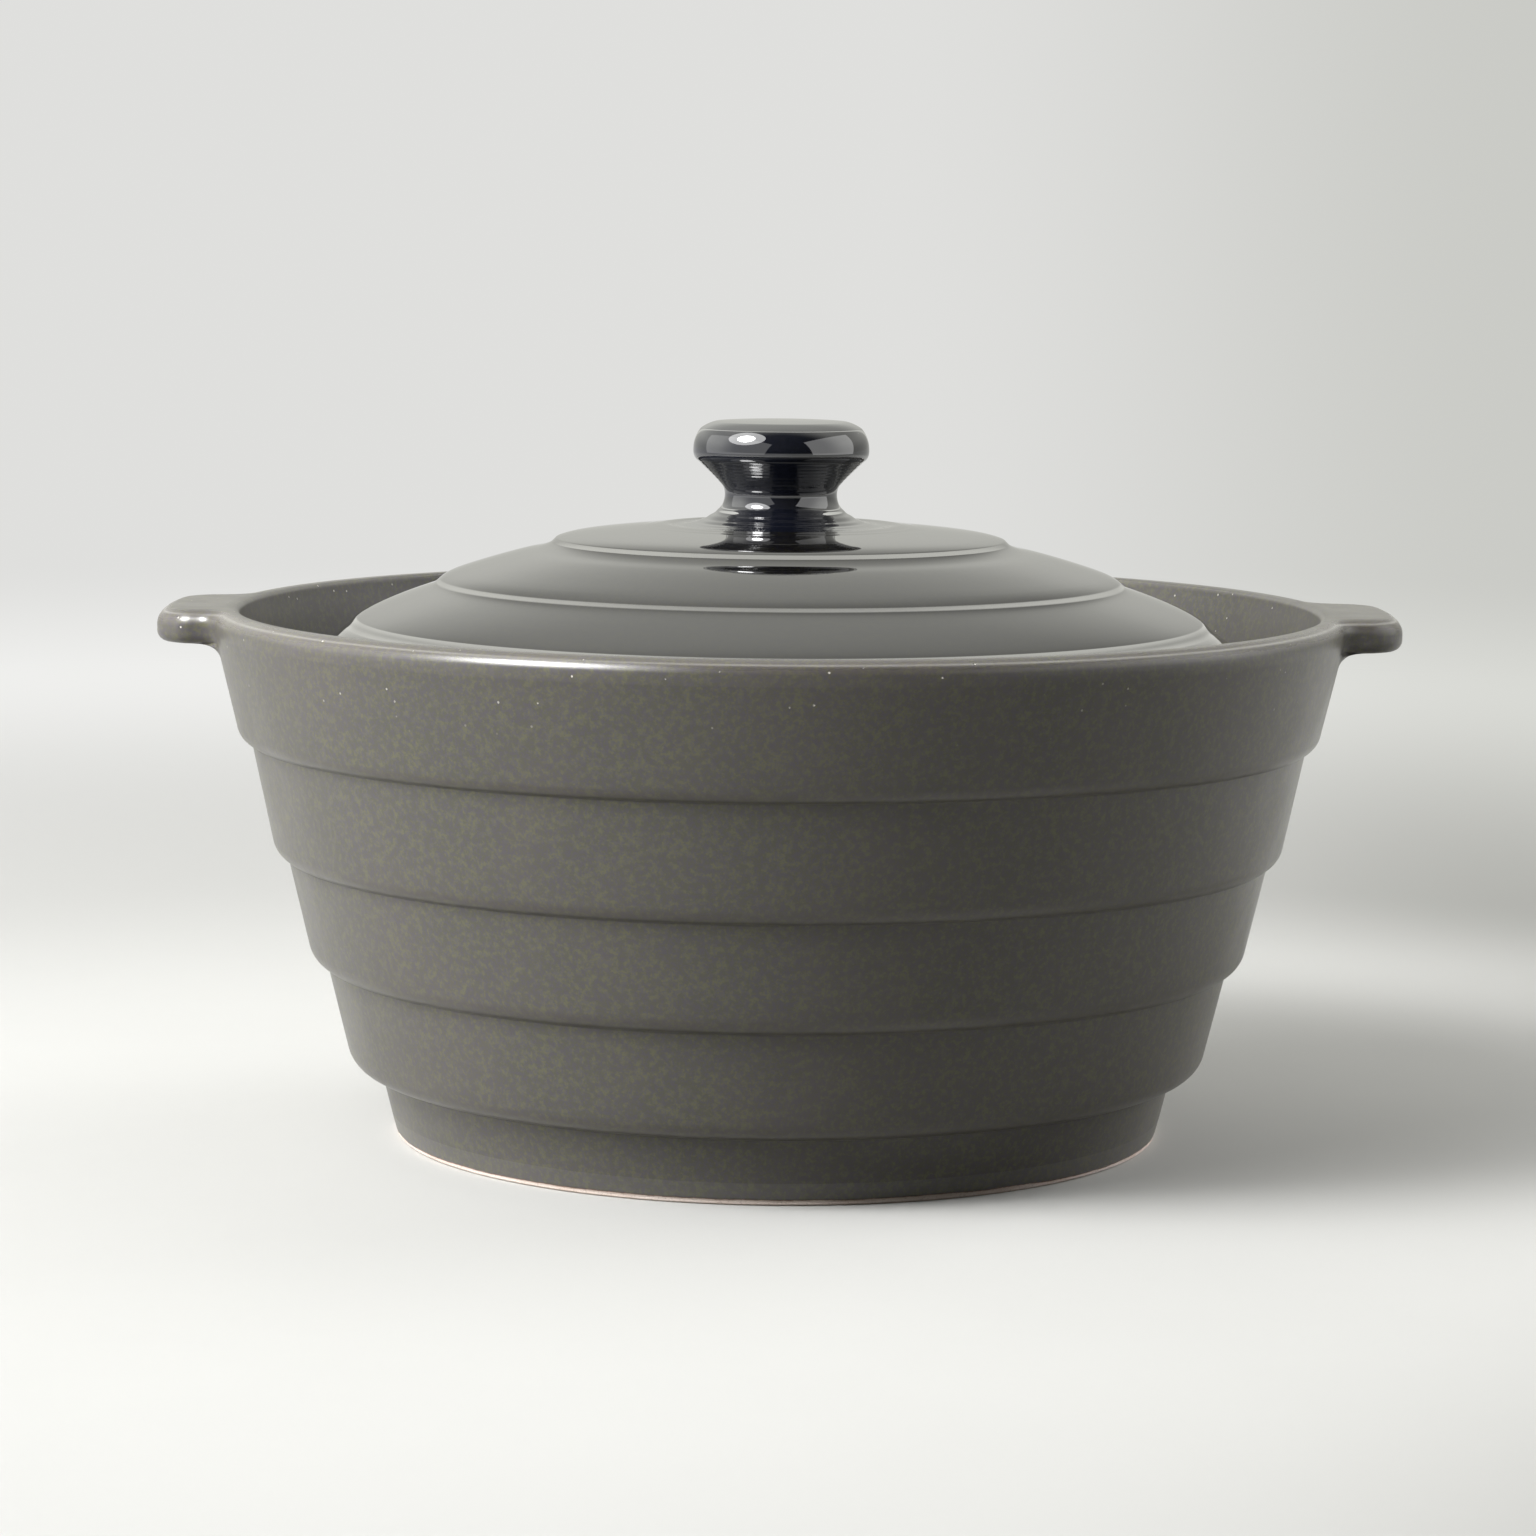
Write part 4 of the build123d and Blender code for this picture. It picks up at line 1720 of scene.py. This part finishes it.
        # Painted shade: further off, the paper darkens a little on the left and much on the right.
        painted_shade_tone = bench.blend(side, self.paper_shade_left, self.paper_shade_right)
        tone = bench.blend(bench.remap(distance, self.paper_fade), near, painted_shade_tone)
        path = bench.add("ShaderNodeLightPath")
        tone = bench.blend(path.outputs["Is Glossy Ray"], tone, self.paper)
        tone = bench.blend(path.outputs["Is Diffuse Ray"], tone, self.bounce)
        paper = bench.add("ShaderNodeBsdfPrincipled", {"Base Color": tone, "Roughness": self.matt})
        # The far field glows, painted lighter on the left and darker on the right as painted light and
        # shade.
        far = bench.add("ShaderNodeEmission", {
            "Color": bench.blend(side, self.far_lit_left, self.far_shade_right),
            "Strength": bench.remap(distance, self.far_level)})
        face = bench.cover(bench.remap(distance, self.far_fade), paper.outputs["BSDF"],
                           far.outputs["Emission"])
        back = bench.add("ShaderNodeNewGeometry").outputs["Backfacing"]
        clear = bench.add("ShaderNodeBsdfTransparent").outputs["BSDF"]
        bench.show(bench.cover(back, face, clear))
        return material

    def build_world(self) -> None:
        """Sets the soft light from all round, and the field that the camera sees, painted lighter on the
        left than on the right.
        """
        world = bpy.data.worlds.new("studio")
        bpy.context.scene.world = world
        bench = NodeBench(world)
        level = bench.remap(bench.axis("Z"), self.room_low)
        for axis, ramp in (("Z", self.room_high), ("Y", self.room_back), ("X", self.room_side)):
            level = bench.times(level, bench.remap(bench.axis(axis), ramp))
        path = bench.add("ShaderNodeLightPath")
        glossy = path.outputs["Is Glossy Ray"]
        share = bench.maths("MULTIPLY_ADD", glossy, self.room_shine, self.room_fill)
        band = bench.times(self.ceiling(bench), glossy)
        soft = bench.add("ShaderNodeBackground", {
            "Color": self.room_tone, "Strength": bench.maths("ADD", bench.times(level, share), band)})
        # The background that the camera sees is painted lighter on the left and darker on the right:
        # painted light and shade.
        side = bench.remap(bench.axis("X"), self.turn)
        seen = bench.add("ShaderNodeBackground", {
            "Color": bench.blend(side, self.far_lit_left, self.far_shade_right)})
        bench.show(bench.cover(path.outputs["Is Camera Ray"], soft.outputs["Background"],
                               seen.outputs["Background"]))

    def ceiling(self, bench: NodeBench) -> NodeSocket:
        """The bright band that the ceiling leaves on shining edges that face it.

        Args:
            bench: The world's nodes.

        Returns:
            The band's brightness.
        """
        lean = bench.add("ShaderNodeVectorMath", {0: bench.place, 1: self.band_lean},
                         operation="ADD")
        facing = bench.add("ShaderNodeVectorMath", {0: lean.outputs["Vector"]},
                           operation="NORMALIZE")
        steep = bench.axis("Z", facing.outputs["Vector"])
        band = bench.times(bench.remap(steep, self.band_top), bench.remap(steep, self.band_foot))
        return bench.times(band, bench.remap(bench.axis("Z"), self.band_level))

    def build(self) -> None:
        """Sets up the whole studio."""
        self.build_camera()
        self.build_floor()
        for lamp in self.lamps:
            lamp.hang(self.target)
        self.build_world()
        bpy.context.scene.view_settings.view_transform = "Standard"


# The pot's glaze; its pits near the rim are painted pale as painted glints.
POT_GLAZE = GlazeFinish(
    name="iron_semi_matt", body=(0.100, 0.098, 0.075), cloud=(0.117, 0.109, 0.091),
    fleck=(0.160, 0.157, 0.088), speck=(0.100, 0.089, 0.126), warm=(0.112, 0.094, 0.082),
    fleck_share=0.6, cloud_share=0.6, roughness=0.37, rough_spread=0.03, ior=1.60,
    ripple=0.05 * MM, peel=0.010 * MM, rings=0.02 * MM, edge_gloss=0.20, mirror=0.27,
    edge_mirror=0.30, glinting_pinholes=GlintingPinholes(strength=0.9, floor=98 * MM))
LID_GLAZE = GlazeFinish(
    name="iron_gloss", body=(0.005, 0.005, 0.0035), cloud=(0.008, 0.007, 0.005),
    fleck=(0.016, 0.015, 0.007), speck=(0.007, 0.006, 0.012), warm=(0.022, 0.019, 0.016),
    fleck_share=0.6, cloud_share=0.5, roughness=0.035, rough_spread=0.01, ior=1.66,
    ripple=0.022 * MM, peel=0.002 * MM, rings=0.006 * MM)
KNOB_GLAZE = GlazeFinish(
    name="tenmoku_mirror", body=(0.004, 0.006, 0.012), cloud=(0.009, 0.009, 0.012),
    fleck=(0.012, 0.012, 0.016), speck=(0.008, 0.008, 0.018), warm=(0.014, 0.012, 0.014),
    fleck_share=0.3, cloud_share=0.5, roughness=0.03, rough_spread=0.008, ior=1.78,
    ripple=0.012 * MM, peel=0.001 * MM, rings=0.005 * MM, mirror=0.60)
BARE_CLAY = ClayFinish(name="bare_clay", clay=(0.62, 0.50, 0.42), toast=(0.50, 0.36, 0.27))
FOOT_CLAY = ClayFinish(name="foot_clay", clay=(0.76, 0.66, 0.60), toast=(0.70, 0.56, 0.48),
                       glaze=POT_GLAZE)


def main() -> None:
    """Builds the pot, the lid and the studio, in that order, and reports each piece."""
    logging.basicConfig(level=logging.INFO, format="%(relativeCreated)6.0f ms  %(message)s")
    pot_glaze = POT_GLAZE.build()
    bare_clay = BARE_CLAY.build()
    pieces = PotBody().build(pot_glaze, bare_clay, FOOT_CLAY.build())
    pieces += Lid().build(LID_GLAZE.build(), bare_clay, KNOB_GLAZE.build())
    for piece in pieces:
        LOG.info("%s: %d points, %d faces", piece.name, len(piece.data.vertices),
                 len(piece.data.polygons))
    Studio().build()


if __name__ == "__main__":
    main()
